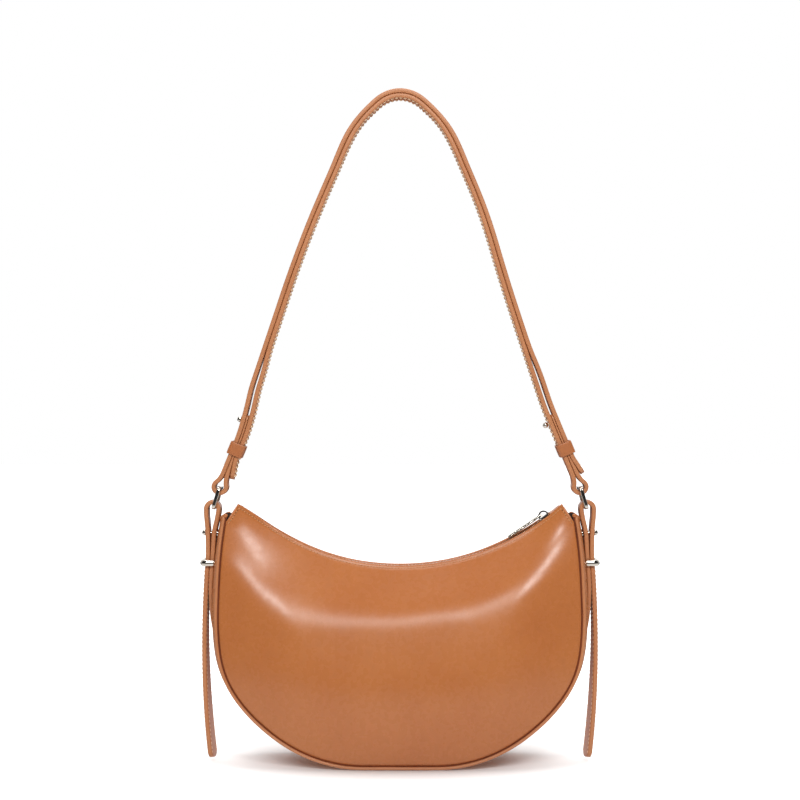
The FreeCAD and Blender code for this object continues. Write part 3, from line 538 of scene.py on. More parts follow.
# %% Panel sheets
ALONG, PANEL, SEWN_IN = 300, 1.6, 2.3
FRONT_EASE, BACK_EASE, EASE_FROM, EASE_PEAK = (2.2, -0.6, 0.0), (2.6, 1.6, -2.2), 25, 0.535
SHOULDER_OUT, HIP_OUT, HIP_HEIGHT = 1.3, 4.4, 66.0
FURROW, SWELL, GROOVE = 0.28, 0.22, 1.9
turn_round = np.array([1.0, -1.0, 1.0])
share = np.linspace(0, 1, ALONG)
bottom_x, bottom_w, _ = body_line(HALF_WIDTH, 0.0, ALONG)
swing = math.asin(CORNER_HALF / MOUTH_R)
mouth_x = MOUTH_R * np.sin(swing * (2 * share - 1))
mouth_w = MOUTH_MIDDLE + MOUTH_R * (1 - np.cos(swing * (2 * share - 1)))
up = np.concatenate([np.linspace(0, 0.032, 9), np.linspace(0.045, 0.93, 66), np.linspace(0.94, 1, 16)])[:, None]
flat_x = bottom_x * (1 - up) + mouth_x * up
flat_w = bottom_w * (1 - up) + mouth_w * up


def eased_mouth(x, below, ease):
    """How the cut edge has given way with use: it is straighter towards the corners, more so at the back."""
    near = hump(np.maximum(below, 0), 28)
    out = np.clip((np.abs(x) - EASE_FROM) / (CORNER_HALF - EASE_FROM), 0, 1)
    return (np.where(x < 0, ease[0], ease[1]) * out ** 2 * (1 - out ** 8) / EASE_PEAK + ease[2] * out ** 6) * near


def flare(x, w):
    """The seams stand further out at the shoulders, where the filled bag spreads, but clear of a ring folded down."""
    return np.sign(x) * SHOULDER_OUT * smooth((w - 125) / 70)


def hips(x, w):
    """The filled bag is fuller at its lower flanks than the pattern."""
    return np.sign(x) * HIP_OUT * hump(w - HIP_HEIGHT, 33) * np.minimum(np.abs(x) / 110, 1) ** 2


def panel_face(x, w, sunk, ease):
    """The panel's surface, sunk below its outer face. The sewn furrow and the seam's groove are pressed in."""
    sunk = sunk * (1 - pared(x, w) / PANEL)
    below = below_mouth(x, w)
    furrow = FURROW * hump(below - SEWN_IN, 0.8)
    swell = SWELL * hump(below - 0.8, 0.9)
    inside = seam_distance(x, w)
    groove = GROOVE * hump(inside, 1.3) * np.clip((below - 16) / 6, 0, 1)
    free = 1 - smooth((w - 183) / 8)
    wide = flare(x, w) * hump(inside, 12) * free + hips(x, w)
    cut_back = 0.8 * np.maximum(sunk, 0) * hump(np.maximum(below, 0), 4)
    return seat(x + wide, -puff(x, w) + furrow - swell + groove + sunk, w + eased_mouth(x, below, ease) - cut_back)


leathers = {}
for side, ease, turn in (("front", FRONT_EASE, 1.0), ("back", BACK_EASE, turn_round)):
    faces = [panel_face(flat_x, flat_w, sunk, ease) * turn for sunk in (0.0, PANEL)]
    leathers[side] = thick_sheet(side + "_leather", *faces, [PANEL_LEATHER])
    settle(leathers[side], "bag", [side + "_panel"])
print("panels of", len(leathers["front"].data.polygons), "faces each")

# %% [markdown]
# ## The gusset
# One long strip of leather joins the panels along the sides and the base. It is wide at the base and narrow at the
# shoulders, and it bulges a little between its seams. It is swept here as a grid: one row of points for each place
# across, each row being the seam's own line, a bit larger towards the middle. Its rim lies deep in the seams and
# takes a near black leather, which is painted shade where the seams close over it.

# %% Gusset sheet
GUSSET_BULGE, GUSSET_ROWS, GUSSET_STEPS, TOP_PAST, RIM_IN = 5.0, 35, 270, 6.0, 0.992


def gusset_row(across, count, sunk, past=0.0):
    """A row of the gusset, from -1 at the front seam to 1 at the back one. It may run on past the shoulders."""
    fuller = 1 - abs(across) ** 6
    tilt = math.asin(abs(across) * (SEAM_BASE - SEAM_TOP) / SHOULDER)
    floor = -BASE_LIFT / math.cos(tilt) * fuller
    x, w, heading = body_line(HALF_WIDTH + GUSSET_BULGE * fuller, floor, count, past)
    x, w = x - sunk * np.sin(heading), w + sunk * np.cos(heading)
    x = x + flare(x, w) * abs(across) ** 4 + hips(x, w)
    y = -abs(across) * SEAM_BASE + w * math.sin(tilt)
    return np.stack([x, math.copysign(1.0, across) * y, BASE_LIFT + w * math.cos(tilt)], axis=-1)


places = np.sin(np.linspace(-1, 1, GUSSET_ROWS) * math.pi / 2) * RIM_IN
outer, inner = (np.stack([gusset_row(a, GUSSET_STEPS, sunk, TOP_PAST * a * a) for a in places])
                for sunk in (0.0, PANEL))
# The gusset's rim takes the painted seam shade.
gusset = thick_sheet("gusset_leather", outer, inner, [PANEL_LEATHER, SEAM_SHADE_LEATHER])
settle(gusset, "bag", ["gusset"])
wide, deep = (round(float(np.ptp(outer[..., k])), 1) for k in (0, 1))
print("gusset", deep, "mm deep and", wide, "mm wide")

# %% [markdown]
# ## Piping
# Each seam carries a bead: a cord wrapped in thin leather and sewn between panel and gusset. It stiffens the
# outline of the half moon. A round tube along the seam's line makes it. At the shoulders it is turned in, so its ends
# bend back and close. Its leather is the panels' leather, made paler as painted light on its rounded top.

# %% Piping beads
BEAD_R, ROLL_R = 1.25, 1.5


def tube(name, line, radius, finishes, sides=14, tall=None, square=(0.0, 1.0, 0.0)):
    """A closed tube along points, with rounded ends. It may be oval, tall in the direction square to its plane."""
    line = np.asarray(line, float)
    tall = radius if tall is None else tall
    along = np.gradient(line, axis=0)
    along /= np.linalg.norm(along, axis=1, keepdims=True)
    across = np.cross(along, square)
    across /= np.maximum(np.linalg.norm(across, axis=1, keepdims=True), 1e-9)
    up_way = np.cross(across, along)
    turns = np.linspace(0, 2 * math.pi, sides, endpoint=False)
    cap = np.radians([80, 60, 38, 18])
    middles = [line[0] - along[0] * radius * math.sin(a) for a in cap] + list(line)
    middles += [line[-1] + along[-1] * radius * math.sin(a) for a in cap[::-1]]
    sizes = [math.cos(a) for a in cap] + [1.0] * len(line) + [math.cos(a) for a in cap[::-1]]
    pick = [0] * 4 + list(range(len(line))) + [len(line) - 1] * 4
    rings = [m + s * (radius * np.cos(turns)[:, None] * across[k] + tall * np.sin(turns)[:, None] * up_way[k])
             for m, s, k in zip(middles, sizes, pick)]
    return make_mesh(name, *capped(rings), finishes)


bead_x, bead_w, bead_heading = body_line(HALF_WIDTH, 0.0, 330, 2.5)
out = BEAD_R - 0.15
bead_spread = flare(bead_x, bead_w) + hips(bead_x, bead_w)
bead = seat(bead_x + bead_spread + out * np.sin(bead_heading), 0.4, bead_w - out * np.cos(bead_heading))
bead[:, 2] = np.maximum(bead[:, 2], BEAD_R)
curl = np.linspace(1, 0, 7)[:, None]
hook = np.concatenate([curl ** 2 * -0.6, curl ** 2 * 2.8, curl * 2.6 - curl ** 3 * 0.8], axis=1)
for name, mirror in FACES:
    left_end = bead[0] + hook[:-1] * [-1.0, 1.0, 1.0]
    right_end = (bead[-1] + hook[:-1])[::-1]
    line = np.concatenate([left_end, bead, right_end]) * [1.0, mirror, 1.0]
    bead_piece = tube(name + "_piping_bead", line, BEAD_R, [LIT_PIPING_LEATHER])
    settle(bead_piece, "bag", [name + "_piping"])
for name, end in (("left", 0), ("right", -1)):
    top_line = (outer[2:-2, end] + inner[2:-2, end]) / 2
    roll = tube(name + "_gusset_roll", top_line[::(1 if end else -1)], ROLL_R, [PANEL_LEATHER])
    settle(roll, "bag")
print("two beads of", 2 * BEAD_R, "mm along", len(bead), "points, and a rolled end on each shoulder")

# %% [markdown]
# ## Straps
# All the straps are cut from the same doubled leather, with faces slightly crowned and edges rounded and painted.
# A strap is a section swept along its walk: at each point the section stands square to the way. The faces on the rim
# take the edge paint. Towards a tip the section narrows, which gives the rounded end that a strap cutter leaves.

# %% Swept straps
STRAP, STRAP_WIDTH, EDGE_ROUND, CROWN = 3.4, 16.0, 0.95, 0.12


def section(half_thick, half_wide):
    """A rounded section with crowned faces, as places across the thickness and the width."""
    round_off = min(EDGE_ROUND, half_thick * 0.56)
    spots = []
    for sign_t, sign_w, start in ((1, 1, 0), (-1, 1, 90), (-1, -1, 180), (1, -1, 270)):
        for a in np.radians(start + np.array([0, 30, 60, 90])):
            spots.append((sign_t * (half_thick - round_off) + round_off * math.cos(a),
                          sign_w * (half_wide - round_off) + round_off * math.sin(a)))
        if start in (90, 270):
            for part in (0.33, 0.67):
                spots.append((sign_t * (half_thick + CROWN), -sign_t * half_wide * (1 - 2 * part)))
    return np.array(spots)


def sweep_strap(name, rows, bow, thick=STRAP, width=STRAP_WIDTH, tip_in=0.0, tip_out=0.0):
    """A strap along rows of x, z, heading and length, put in place by bow. The tips are rounded by their radius."""
    rows = np.asarray(rows, float)
    thick = np.broadcast_to(np.asarray(thick, float), len(rows))
    gone = rows[:, 3] - rows[0, 3]
    left = gone[-1] - gone
    rings = []
    for k, (x, z, heading, _) in enumerate(rows):
        spots = section(thick[k] / 2, width / 2)
        narrow = 1.0
        for tip, reach in ((tip_in, gone[k]), (tip_out, left[k])):
            if tip and reach < tip:
                narrow = min(narrow, (width / 2 - tip + math.sqrt(max(tip ** 2 - (tip - reach) ** 2, 0.2)))
                             / (width / 2))
        t, w = spots[:, 0], spots[:, 1] * narrow
        rings.append(np.stack([x - t * math.sin(heading), w, z + t * math.cos(heading)], axis=-1))
    points, faces = capped(rings)
    span = np.abs(section(thick[0] / 2, width / 2)[:, 1])
    on_rim = np.minimum(span, np.roll(span, -1)) > width / 2 - EDGE_ROUND * 0.75
    picks = on_rim.astype(int).tolist() * (len(rings) - 1) + [1, 1]
    return make_mesh(name, bow(points), faces, [STRAP_LEATHER, EDGE_PAINT], picks)


def fine_rows(rows, step):
    """The same way with points at an even step, with the tips kept finer."""
    rows = np.asarray(rows)
    length = rows[-1, 3]
    spots = np.arange(0, length, step)
    ends = np.array([0.15, 0.4, 0.8, 1.3, 2.0, 2.8, 3.8, 5.0])
    spots = np.unique(np.concatenate([spots, ends, length - ends, [length]]).clip(0, length).round(3))
    return np.stack([np.interp(spots, rows[:, 3], rows[:, k]) for k in range(4)], axis=-1)


print("a strap's section has", len(section(STRAP / 2, STRAP_WIDTH / 2)), "points")

# %% [markdown]
# ## Side straps and their tails
# On each side a strap is sewn to the gusset, runs up, turns round the ring in a drop shaped loop, comes down again
# outside and is pinned by a ball stud and a metal bridge. Below the bridge its end hangs free as a long tail. The
# strap and its tail ride on no body and are baked in place. The tail bends just under the bridge.

# %% Side straps
LAYER_GAP, LOOP_R, FLARE = 0.3, 4.85, 30.0
HALF_LAYERS = (STRAP + LAYER_GAP) / 2
LOOP_OPENING = (LOOP_R * cosine(FLARE) - HALF_LAYERS) / (1 - cosine(FLARE))
ANCHOR_LOW, ANCHOR_LEAN, PINCH, NODE_GAP = 15.0, 3.9, 186.0, 0.3
BRIDGE_AT, TAIL_PLUMB, TAIL_TIP, LIMBS_PART, DROP_FROM = 157.0, 99.5, 3.4, 163.0, 177.0
TAIL_TURN, SEWN_THIN, SKIVED_LONG, SIDE_TIP = 10.0, 0.9, 56.0, 6.0
LOOP_ABOVE, SLIT_SHARE, DROP_SHARE, LEAN_OUT = 190.0, 0.14, 0.86, 1.0


def side_walk():
    """The right side strap up to the bridge, and its tail from under the bridge."""
    tilt = math.asin(0.75 * (SEAM_BASE - SEAM_TOP) / SHOULDER)
    flat_high = lower_radii(HALF_WIDTH + GUSSET_BULGE, WIDEST + BASE_LIFT / math.cos(tilt))[1]
    out_by = LAYER_GAP + STRAP / 2
    low_r = flat_high + out_by
    start_z = BASE_LIFT + WIDEST * math.cos(tilt) - low_r * sine(ANCHOR_LOW)
    walk = Walk(HALF_WIDTH + GUSSET_BULGE - flat_high + low_r * cosine(ANCHOR_LOW), start_z, 90 - ANCHOR_LOW)
    walk.arc(low_r, ANCHOR_LOW)
    walk.arc(SIDE_R + out_by, ANCHOR_LEAN)
    walk.line((PINCH - walk.z) / cosine(ANCHOR_LEAN))
    walk.line(NODE_GAP + 2.0, 1.2)
    walk.drop_loop(1)
    walk.line(NODE_GAP + 2.0, 1.2)
    walk.line((walk.z - BRIDGE_AT + 2.85) / cosine(ANCHOR_LEAN))
    upper = walk.table()
    walk.line(NODE_GAP, 1.0)
    tail = Walk(walk.x, walk.z, math.degrees(walk.heading))
    tail_r = (tail.z - TAIL_PLUMB) / sine(ANCHOR_LEAN)
    fall = (tail.z - TAIL_TIP) / tail_r - sine(ANCHOR_LEAN)
    tail.arc(tail_r, -ANCHOR_LEAN - math.degrees(math.asin(fall)))
    return upper, tail.table()


def slack_loop(rows):
    """The loop, drawn longer: its limbs part above the bridge, and over the stud they open to a drop."""
    rows = np.array(rows)
    x, z = rows[:, 0], rows[:, 1]
    top = int(np.argmax(z))
    wide_in = int(np.argmin(np.where(z > LOOP_ABOVE, x, np.inf)))
    wide_out = int(np.argmax(np.where(z > LOOP_ABOVE, x, 0)))
    widest = (z[wide_in] + z[wide_out]) / 2
    low = z < widest
    low_in, low_out = (np.interp(LIMBS_PART, *pair) for pair in ((z[:top], x[:top]), (z[:top:-1], x[:top:-1])))
    slit = np.clip((z - LIMBS_PART) / 15, 0, 1)
    ease = SLIT_SHARE * slit + DROP_SHARE * smooth((z - DROP_FROM) / (widest - DROP_FROM))
    x_in = low_in + (x[wide_in] - low_in) * ease
    x_out = low_out + (x[wide_out] - low_out) * ease
    part = low & (z > LIMBS_PART)
    order = np.arange(len(rows))
    rows[:, 0] = np.where(part & (order < top), x_in, np.where(part & (order > top), x_out, x))
    rows[:, 0] += LEAN_OUT * np.clip((z - 172) / 22, 0, 1) ** 2
    rows[:, 2] = np.unwrap(np.arctan2(np.gradient(rows[:, 1]), np.gradient(rows[:, 0])))
    return rows


def skived(rows):
    """The sewn end is pared thin, so that it lies down on the gusset. Gives the rows and their thicknesses."""
    rows = np.array(rows)
    thick = SEWN_THIN + (STRAP - SEWN_THIN) * smooth(rows[:, 3] / SKIVED_LONG)
    down = (STRAP - thick) / 2
    rows[:, 0] -= down * np.sin(rows[:, 2])
    rows[:, 1] += down * np.cos(rows[:, 2])
    return rows, thick


def plain_side(mirror):
    """Puts points of the right strap on one side of the bag."""
    return lambda points: points * [mirror, 1.0, 1.0]


def turned_side(mirror):
    """The same for a tail, which turns its inner face a little to the front towards its tip."""
    def turn(points):
        points = np.array(points, float)
        middle = np.interp(points[:, 2], TAIL_ROWS[::-1, 1], TAIL_ROWS[::-1, 0])
        angle = math.radians(TAIL_TURN) * smooth((148 - points[:, 2]) / 140)
        off, y = points[:, 0] - middle, points[:, 1].copy()
        points[:, 0] = middle + off * np.cos(angle) - y * np.sin(angle)
        points[:, 1] = y * np.cos(angle) + off * np.sin(angle)
        return points * [mirror, 1.0, 1.0]
    return turn


SIDE_ROWS, TAIL_ROWS = side_walk()
SIDE_ROWS, SIDE_THICK = skived(slack_loop(SIDE_ROWS))
for side, mirror in SIDES:
    strap = sweep_strap(side + "_side_strap", SIDE_ROWS, plain_side(mirror), SIDE_THICK, tip_in=SIDE_TIP)
    tail = sweep_strap(side + "_strap_tail", fine_rows(TAIL_ROWS, 3.0), turned_side(mirror), tip_out=SIDE_TIP)
    settle(strap, None, [side + "_strap_anchor", side + "_side_loop", side + "_bridge_layer"])
    settle(tail, None, [side + "_tail"])
    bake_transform(strap)
    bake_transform(tail)
print("side strap of", round(float(SIDE_ROWS[-1, 3])), "mm with a tail of", round(float(TAIL_ROWS[-1, 3])), "mm")

# %% [markdown]
# ## The metal bridges and the puller
# The bridge is a polished staple over both layers of a side strap. The real one is bent from oval bar, and its
# roundness is what gives it two white lines with a black one between. A tube with an oval section along the bent way
# does that better than a box with rounded edges. The zip's puller is a bar of the same kind, on a small fork.

# %% Bridges and puller
BRIDGE, BRIDGE_TALL, BRIDGE_BEND, BRIDGE_WALL, PIN_R = 3.5, 5.0, 3.6, 145.9, 1.2
UPRIGHT = (0.0, 0.0, 1.0)


def joined(name, pieces):
    """One object from several closed ones."""
    work = bmesh.new()
    for piece in pieces:
        work.from_mesh(piece.data)
    mesh = bpy.data.meshes.new(name)
    work.to_mesh(mesh)
    work.free()
    mesh.materials.append(METAL)
    for piece in pieces:
        bpy.data.objects.remove(piece)
    return show(name, mesh)


def bridge_bar(side, mirror):
    """The staple with its two pins, from the box of the solid."""
    low, high = box_mm("right_bridge")
    middle_x, leg, height = high[0] - BRIDGE / 2, high[1] - BRIDGE / 2, (low[2] + high[2]) / 2
    turns = np.radians(np.linspace(0, 90, 10))
    corner = np.stack([middle_x - BRIDGE_BEND * (1 - np.sin(turns)),
                       -leg + BRIDGE_BEND * (1 - np.cos(turns))], axis=1)
    start = np.stack([np.linspace(BRIDGE_WALL + 0.8, middle_x - BRIDGE_BEND - 0.6, 8), np.full(8, -leg)], axis=1)
    half = np.concatenate([start, corner, [(middle_x, -leg / 3)]])
    way = np.concatenate([half, half[::-1] * [1.0, -1.0]])
    line = np.column_stack([way[:, 0] * mirror, way[:, 1], np.full(len(way), height)])
    parts = [tube("bar", line, BRIDGE / 2, [METAL], 20, BRIDGE_TALL / 2, UPRIGHT)]
    for y in (-leg, leg):
        pin = [(x * mirror, y, height) for x in np.linspace(low[0] + PIN_R, BRIDGE_WALL + 3, 5)]
        parts.append(tube("pin", pin, PIN_R, [METAL], 12))
    return joined(side + "_bridge_bar", parts)


for side, mirror in SIDES:
    settle(bridge_bar(side, mirror), "bag", [side + "_bridge"])

PULLER_HALF, PULLER_THICK, PULLER_LONG, FORK, PRONG, PRONG_OUT = 2.5, 2.3, 31.5, 5.0, 0.8, 2.05
low, high = box_mm("zip_puller")
PULLER_EYE = np.array([high[0] - PRONG, 0.0, high[2] - PRONG])
reach = PULLER_EYE - low
fall = math.atan2(reach[2] * PULLER_LONG - reach[0] * PRONG, reach[0] * PULLER_LONG - reach[2] * PRONG)
puller_way = np.array([-math.cos(fall), 0.0, -math.sin(fall)])
bar_line = [PULLER_EYE + puller_way * k for k in np.linspace(FORK + 1.2, PULLER_LONG - 1.1, 14)]
parts = [tube("bar", bar_line, PULLER_THICK / 2, [METAL], 20, PULLER_HALF)]
for y in (-PRONG_OUT, PRONG_OUT):
    prong = [PULLER_EYE + puller_way * k + [0.0, y, 0.0] for k in np.linspace(0.0, FORK + 2.0, 6)]
    parts.append(tube("prong", prong, PRONG, [METAL], 10, 0.45))
pin = [PULLER_EYE + [0.0, y, 0.0] for y in np.linspace(-1.7, 1.7, 5)]
parts.append(tube("pin", pin, PRONG, [METAL], 10, None, UPRIGHT))
settle(joined("zip_puller_bar", parts), "zip_puller", ["zip_puller"])
print("bridges and a puller that falls", round(math.degrees(fall), 1), "degrees")

# %% [markdown]
# ## The shoulder strap
# Two straps lie on each other from ring to ring. Each is folded round one ring and closed by a ball stud, and its
# other end lies as a free tail under a keeper. The strap stands in an arch and is stiffest at its top. Seen from the
# front its left flank bows out a few millimetres more than the right one, as a worn strap does.

# %% Shoulder strap layers
LOOP_REACH = (LOOP_OPENING + LOOP_R) * sine(FLARE)
STRAP_EYE = (141.739, 216.605)
KEEPER_TURN, KEEPER_RUN, BEND_R, BEND_TURN, RUN = 67.5, 62.0, 200.0, 3.9, 127.843
SHIFT_TURN, SHIFT = 5.0, 1.6
SHIFT_R = SHIFT / 2 / (1 - cosine(SHIFT_TURN))
SHIFT_LONG, SHIFT_LEFT = 2 * SHIFT_R * sine(SHIFT_TURN), 12.0
SHIFT_FROM = RUN - SHIFT_LONG - SHIFT_LEFT
SKIVED, TAPER_END, FOLD_END = 1.3, 24.0, 61.0
TIP_FROM, TIP_R, TIP_TURN, TIP_LONG = 24.5, 12.0, 11.5, 13.5
LEFT_BOW, RIGHT_BOW, TOP_WIDER, TOP_HIGHER = 4.6, 2.0, 2.4, 2.4
ARCH = ((890.0, 4.4), (143.0, 22.0), (25.0, 90.0), (143.0, 22.0), (890.0, 4.4))


def left_spot(reach, off):
    """A place along the strap above the left ring, off its middle line to the left of the way up."""
    c, s = cosine(KEEPER_TURN), sine(KEEPER_TURN)
    return -STRAP_EYE[0] + reach * c - off * s, STRAP_EYE[1] + reach * s + off * c


def layer_walk(side):
    """One layer, from its loop at the left ring over the arch to its tail: rows and thicknesses."""
    out_by = side * HALF_LAYERS
    x, z = left_spot(LOOP_REACH, -out_by)
    walk = Walk(x, z, KEEPER_TURN + 180)
    walk.drop_loop(side)
    walk.line(KEEPER_RUN - LOOP_REACH)
    walk.arc(BEND_R - out_by, BEND_TURN)
    walk.line(RUN)
    for radius, turn in ARCH:
        walk.arc(radius + out_by, -turn, 3.0)
    walk.line(SHIFT_FROM)
    walk.arc(SHIFT_R, side * SHIFT_TURN)
    walk.arc(SHIFT_R, -side * SHIFT_TURN)
    walk.line(RUN - SHIFT_FROM - SHIFT_LONG)
    walk.arc(BEND_R - out_by - side * SHIFT, BEND_TURN)
    walk.line(KEEPER_RUN - TIP_FROM)
    walk.arc(TIP_R, side * TIP_TURN, LOOP_STEP)
    walk.line(TIP_LONG, 2.0)
    rows = walk.table()
    fold = []
    for reach in np.linspace(FOLD_END, LOOP_REACH + 0.6, 24):
        thick = SKIVED + (STRAP - SKIVED) * np.clip((TAPER_END - reach) / (TAPER_END - LOOP_REACH), 0, 1)
        x, z = left_spot(reach, -side * (LAYER_GAP + thick) / 2)
        fold.append((x, z, math.radians(KEEPER_TURN + 180), -(reach - LOOP_REACH), thick))
    fold = np.array(fold)
    thicks = np.concatenate([fold[:, 4], np.full(len(rows), STRAP)])
    return np.concatenate([fold[:, :4], rows]), thicks, rows


def settle_arch(points):
    """The worn strap's own line: the left flank bows out, and the top stands a little higher."""
    points = np.array(points, float)
    x, z = points[:, 0].copy(), points[:, 2].copy()
    bow = smooth(np.clip((z - 252) / 48, 0, 1) * np.clip((500 - z) / 130, 0, 1))
    points[:, 0] += np.where(x < 0, -LEFT_BOW * bow, RIGHT_BOW * hump(z - 435, 45))
    points[:, 0] += np.clip(x / 25, -1, 1) * TOP_WIDER * hump(z - 500, 20)
    points[:, 2] += TOP_HIGHER * np.clip((z - 300) / 230, 0, 1) ** 2
    return points


LAYERS = {}
for name, side in (("outer_strap", 1), ("inner_strap", -1)):
    rows, thicks, plain = layer_walk(side)

    def place(points, side=side):
        return settle_arch(points * [side, 1.0, 1.0])
    layer = sweep_strap(name + "_leather", rows, place, thicks, tip_in=2.0, tip_out=SIDE_TIP)
    settle(layer, "shoulder_strap", [name])
    LAYERS[name] = (plain, place)
    print(name, "is", round(float(plain[-1, 3])), "mm long with", len(layer.data.polygons), "faces")

# %% [markdown]
# ## Keepers and rings
# A keeper is a narrow band of leather round both layers that holds the free tail. It slides on the strap. A ring is a
# wire with flat faces, bent to a rectangle with soft corners: the flat front of its near side mirrors the dark end of
# the room. Both are built in one way, as a small rounded section carried round a rounded rectangle.

# %% Keepers and rings
def rounded_way(half_a, half_b, corner, count):
    """Points round a rounded rectangle and their outward directions."""
    spots, ways = [], []
    for sign_a, sign_b, start in ((1, 1, 0), (-1, 1, 90), (-1, -1, 180), (1, -1, 270)):
        for a in np.radians(np.linspace(start, start + 90, count)):
            way = np.array([math.cos(a), math.sin(a)])
            spots.append(np.array([sign_a * (half_a - corner), sign_b * (half_b - corner)]) + corner * way)
            ways.append(way)
    return np.array(spots), np.array(ways)


def band(name, middle, turn, halves, corner, wall, long, squareness, mirror, finish):
    """A closed band round a rounded rectangle of two half sizes. Its length lies along the turned direction."""
    spots, ways = rounded_way(*halves, corner, 9)
    edge = np.linspace(0, 2 * math.pi, 24, endpoint=False) + math.pi / 24
    bulge_out = np.sign(np.cos(edge)) * np.abs(np.cos(edge)) ** squareness * wall / 2
    bulge_up = np.sign(np.sin(edge)) * np.abs(np.sin(edge)) ** squareness * long / 2
    c, s = cosine(turn), sine(turn)
    rings = []
    for spot, way in zip(spots, ways):
        across_t = spot[0] + way[0] * bulge_out
        across_w = spot[1] + way[1] * bulge_out
        rings.append(np.stack([middle[0] + bulge_up * c - across_t * s, across_w,
                               middle[1] + bulge_up * s + across_t * c], axis=-1))
    points = np.concatenate(rings) * [mirror, 1.0, 1.0]
    return make_mesh(name, points, grid_faces(len(rings), len(edge), True, True), [finish])


KEEPER_WALL, KEEPER_HALVES, KEEPER_AT, KEEPER_OFF, KEEPER_LONG = 1.1, (5.8, 9.35), 32.0, 0.8, 10.0
for name, side in (("left_keeper", 1), ("right_keeper", -1)):
    keeper = band(name + "_band", left_spot(KEEPER_AT, -side * KEEPER_OFF), KEEPER_TURN, KEEPER_HALVES, 2.2,
                  KEEPER_WALL, KEEPER_LONG, 0.4, side, STRAP_LEATHER)
    settle(keeper, name, [name])
    print(name, "has", len(keeper.data.polygons), "faces")

RING_LEAN, RING_PITCH, RING_BEND, RING_WIRE, SOLID_R = 16.0, 15.5, 2.2, 3.0, 1.7
for name, mirror in (("right_ring", 1.0), ("left_ring", -1.0)):
    lowest, highest = box_mm(name)
    middle = (lowest + highest) / 2 * [mirror, 1.0, 1.0]
    ring = band(name + "_wire", (middle[0], middle[2]), RING_LEAN, (RING_PITCH / 2, highest[1] - SOLID_R), RING_BEND,
                RING_WIRE, RING_WIRE, 0.45, mirror, METAL)
    settle(ring, name, [name])
    print(name, "has", len(ring.data.polygons), "faces")

# %% [markdown]
# ## Zip tapes, end tabs and lining
# Inside the mouth two woven tapes carry the teeth, and a small leather tab closes the zip at each corner. The
# lining is a thin cloth bag that hangs inside the leather. Little of it shows, but a look into the corners should
# meet cloth and not bare leather. The cloth is made darker than its own colour, as painted shade inside the bag.

# %% Zip tapes
EDGE_R, ZIP_DROP = 190.0355, 2.0
ZIP_R, ZIP_MIDDLE_Z, ZIP_SHORT = EDGE_R + ZIP_DROP, 345.0907, 8.0
TAPE_THICK, TAPE_FROM, TAPE_LEAST, TAPE_SAG = 0.8, 1.5, 2.2, 0.3


def panel_inside(x, z, sunk):
    """Where the inner face of the front panel is at a place of the mouth."""
    w = (z - BASE_LIFT) / math.cos(TILT)
    for _ in range(3):
        w = (z - BASE_LIFT - puff(x, w) * math.sin(TILT)) / math.cos(TILT)
    return -SEAM_BASE + (-puff(x, w) + sunk - pared(x, w)) * math.cos(TILT) + w * math.sin(TILT)


half_turn = math.asin((CORNER_HALF - ZIP_SHORT) / ZIP_R)
turn_at = np.linspace(-half_turn, half_turn, 150)


def tape_sheet(name, mirror):
    """A woven strip from the teeth to the inner face of a panel."""
    grids = []
    for drop in (0.0, TAPE_THICK):
        radius = ZIP_R - TAPE_THICK / 2 + drop
        x, z = radius * np.sin(turn_at), ZIP_MIDDLE_Z - radius * np.cos(turn_at)
        reach = np.minimum(panel_inside(x, z, PANEL + 0.3), -TAPE_LEAST)
        lines = [np.stack([x, -TAPE_FROM * (1 - k) + reach * k, z - TAPE_SAG * math.sin(math.pi * k)], axis=-1)
                 for k in np.linspace(0, 1, 9)]
        grids.append(np.stack(lines) * [1.0, mirror, 1.0])
    tape = thick_sheet(name, *grids, [TAPE_CLOTH])
    return settle(tape, "bag", [name.replace("_cloth", "")])


for side, mirror in FACES:
    tape_sheet(side + "_zip_tape_cloth", mirror)
print("two tapes along", round(2 * half_turn * ZIP_R), "mm of zip")

# %% End tabs
TAB_THICK, TAB_WIDE, TAB_FROM, TAB_TO = 3.0, 13.6, 8.2, 0.6
start, end = (math.asin((CORNER_HALF - k) / ZIP_R) for k in (TAB_FROM, TAB_TO))
tab_rows = [(ZIP_R * math.sin(a), ZIP_MIDDLE_Z - ZIP_R * math.cos(a), a, ZIP_R * (a - start))
            for a in np.linspace(start, end, 14)]
for side, mirror in SIDES:
    tab = sweep_strap(side + "_zip_tab_leather", tab_rows, plain_side(mirror), TAB_THICK, TAB_WIDE, 2.0, 2.5)
    settle(tab, "bag", [side + "_zip_tab"])
print("two end tabs")

# %% Lining
lining_up = np.linspace(0.012, 0.965, 60)[:, None]
lining_x = bottom_x[6:-6] * (1 - lining_up) + mouth_x[6:-6] * lining_up
lining_w = (bottom_w[6:-6] + 1.0) * (1 - lining_up) + mouth_w[6:-6] * lining_up


def lining_face(sunk):
    """The lining's surface, with a little slack between its seams."""
    slack = 0.9 * np.clip(seam_distance(lining_x, lining_w) / 50, 0, 1) * np.sin(lining_x * 0.11) ** 2
    return seat(lining_x, -puff(lining_x, lining_w) + sunk + slack - pared(lining_x, lining_w), lining_w)


def cloth_area(piece):
    """The area of one side of a thin sheet, in square metres."""
    return sum(face.area for face in piece.data.polygons) / 2


def corner_shade_cloth(name, mirror):
    """The end of the lining, which closes the corner of the mouth under the zip's tab, dark as painted shade."""
    x, z = np.meshgrid(np.linspace(128.3, 138.3, 9), np.linspace(174.0, 195.5, 10))
    y = 5.0 + 1.2 * ((x - 134.4) / 4) ** 2
    faces = [np.stack([mirror * x, y + sunk, z], axis=-1) for sunk in (0.0, 0.5)]
    return thick_sheet(name, *faces, [SHADED_LINING_CLOTH])


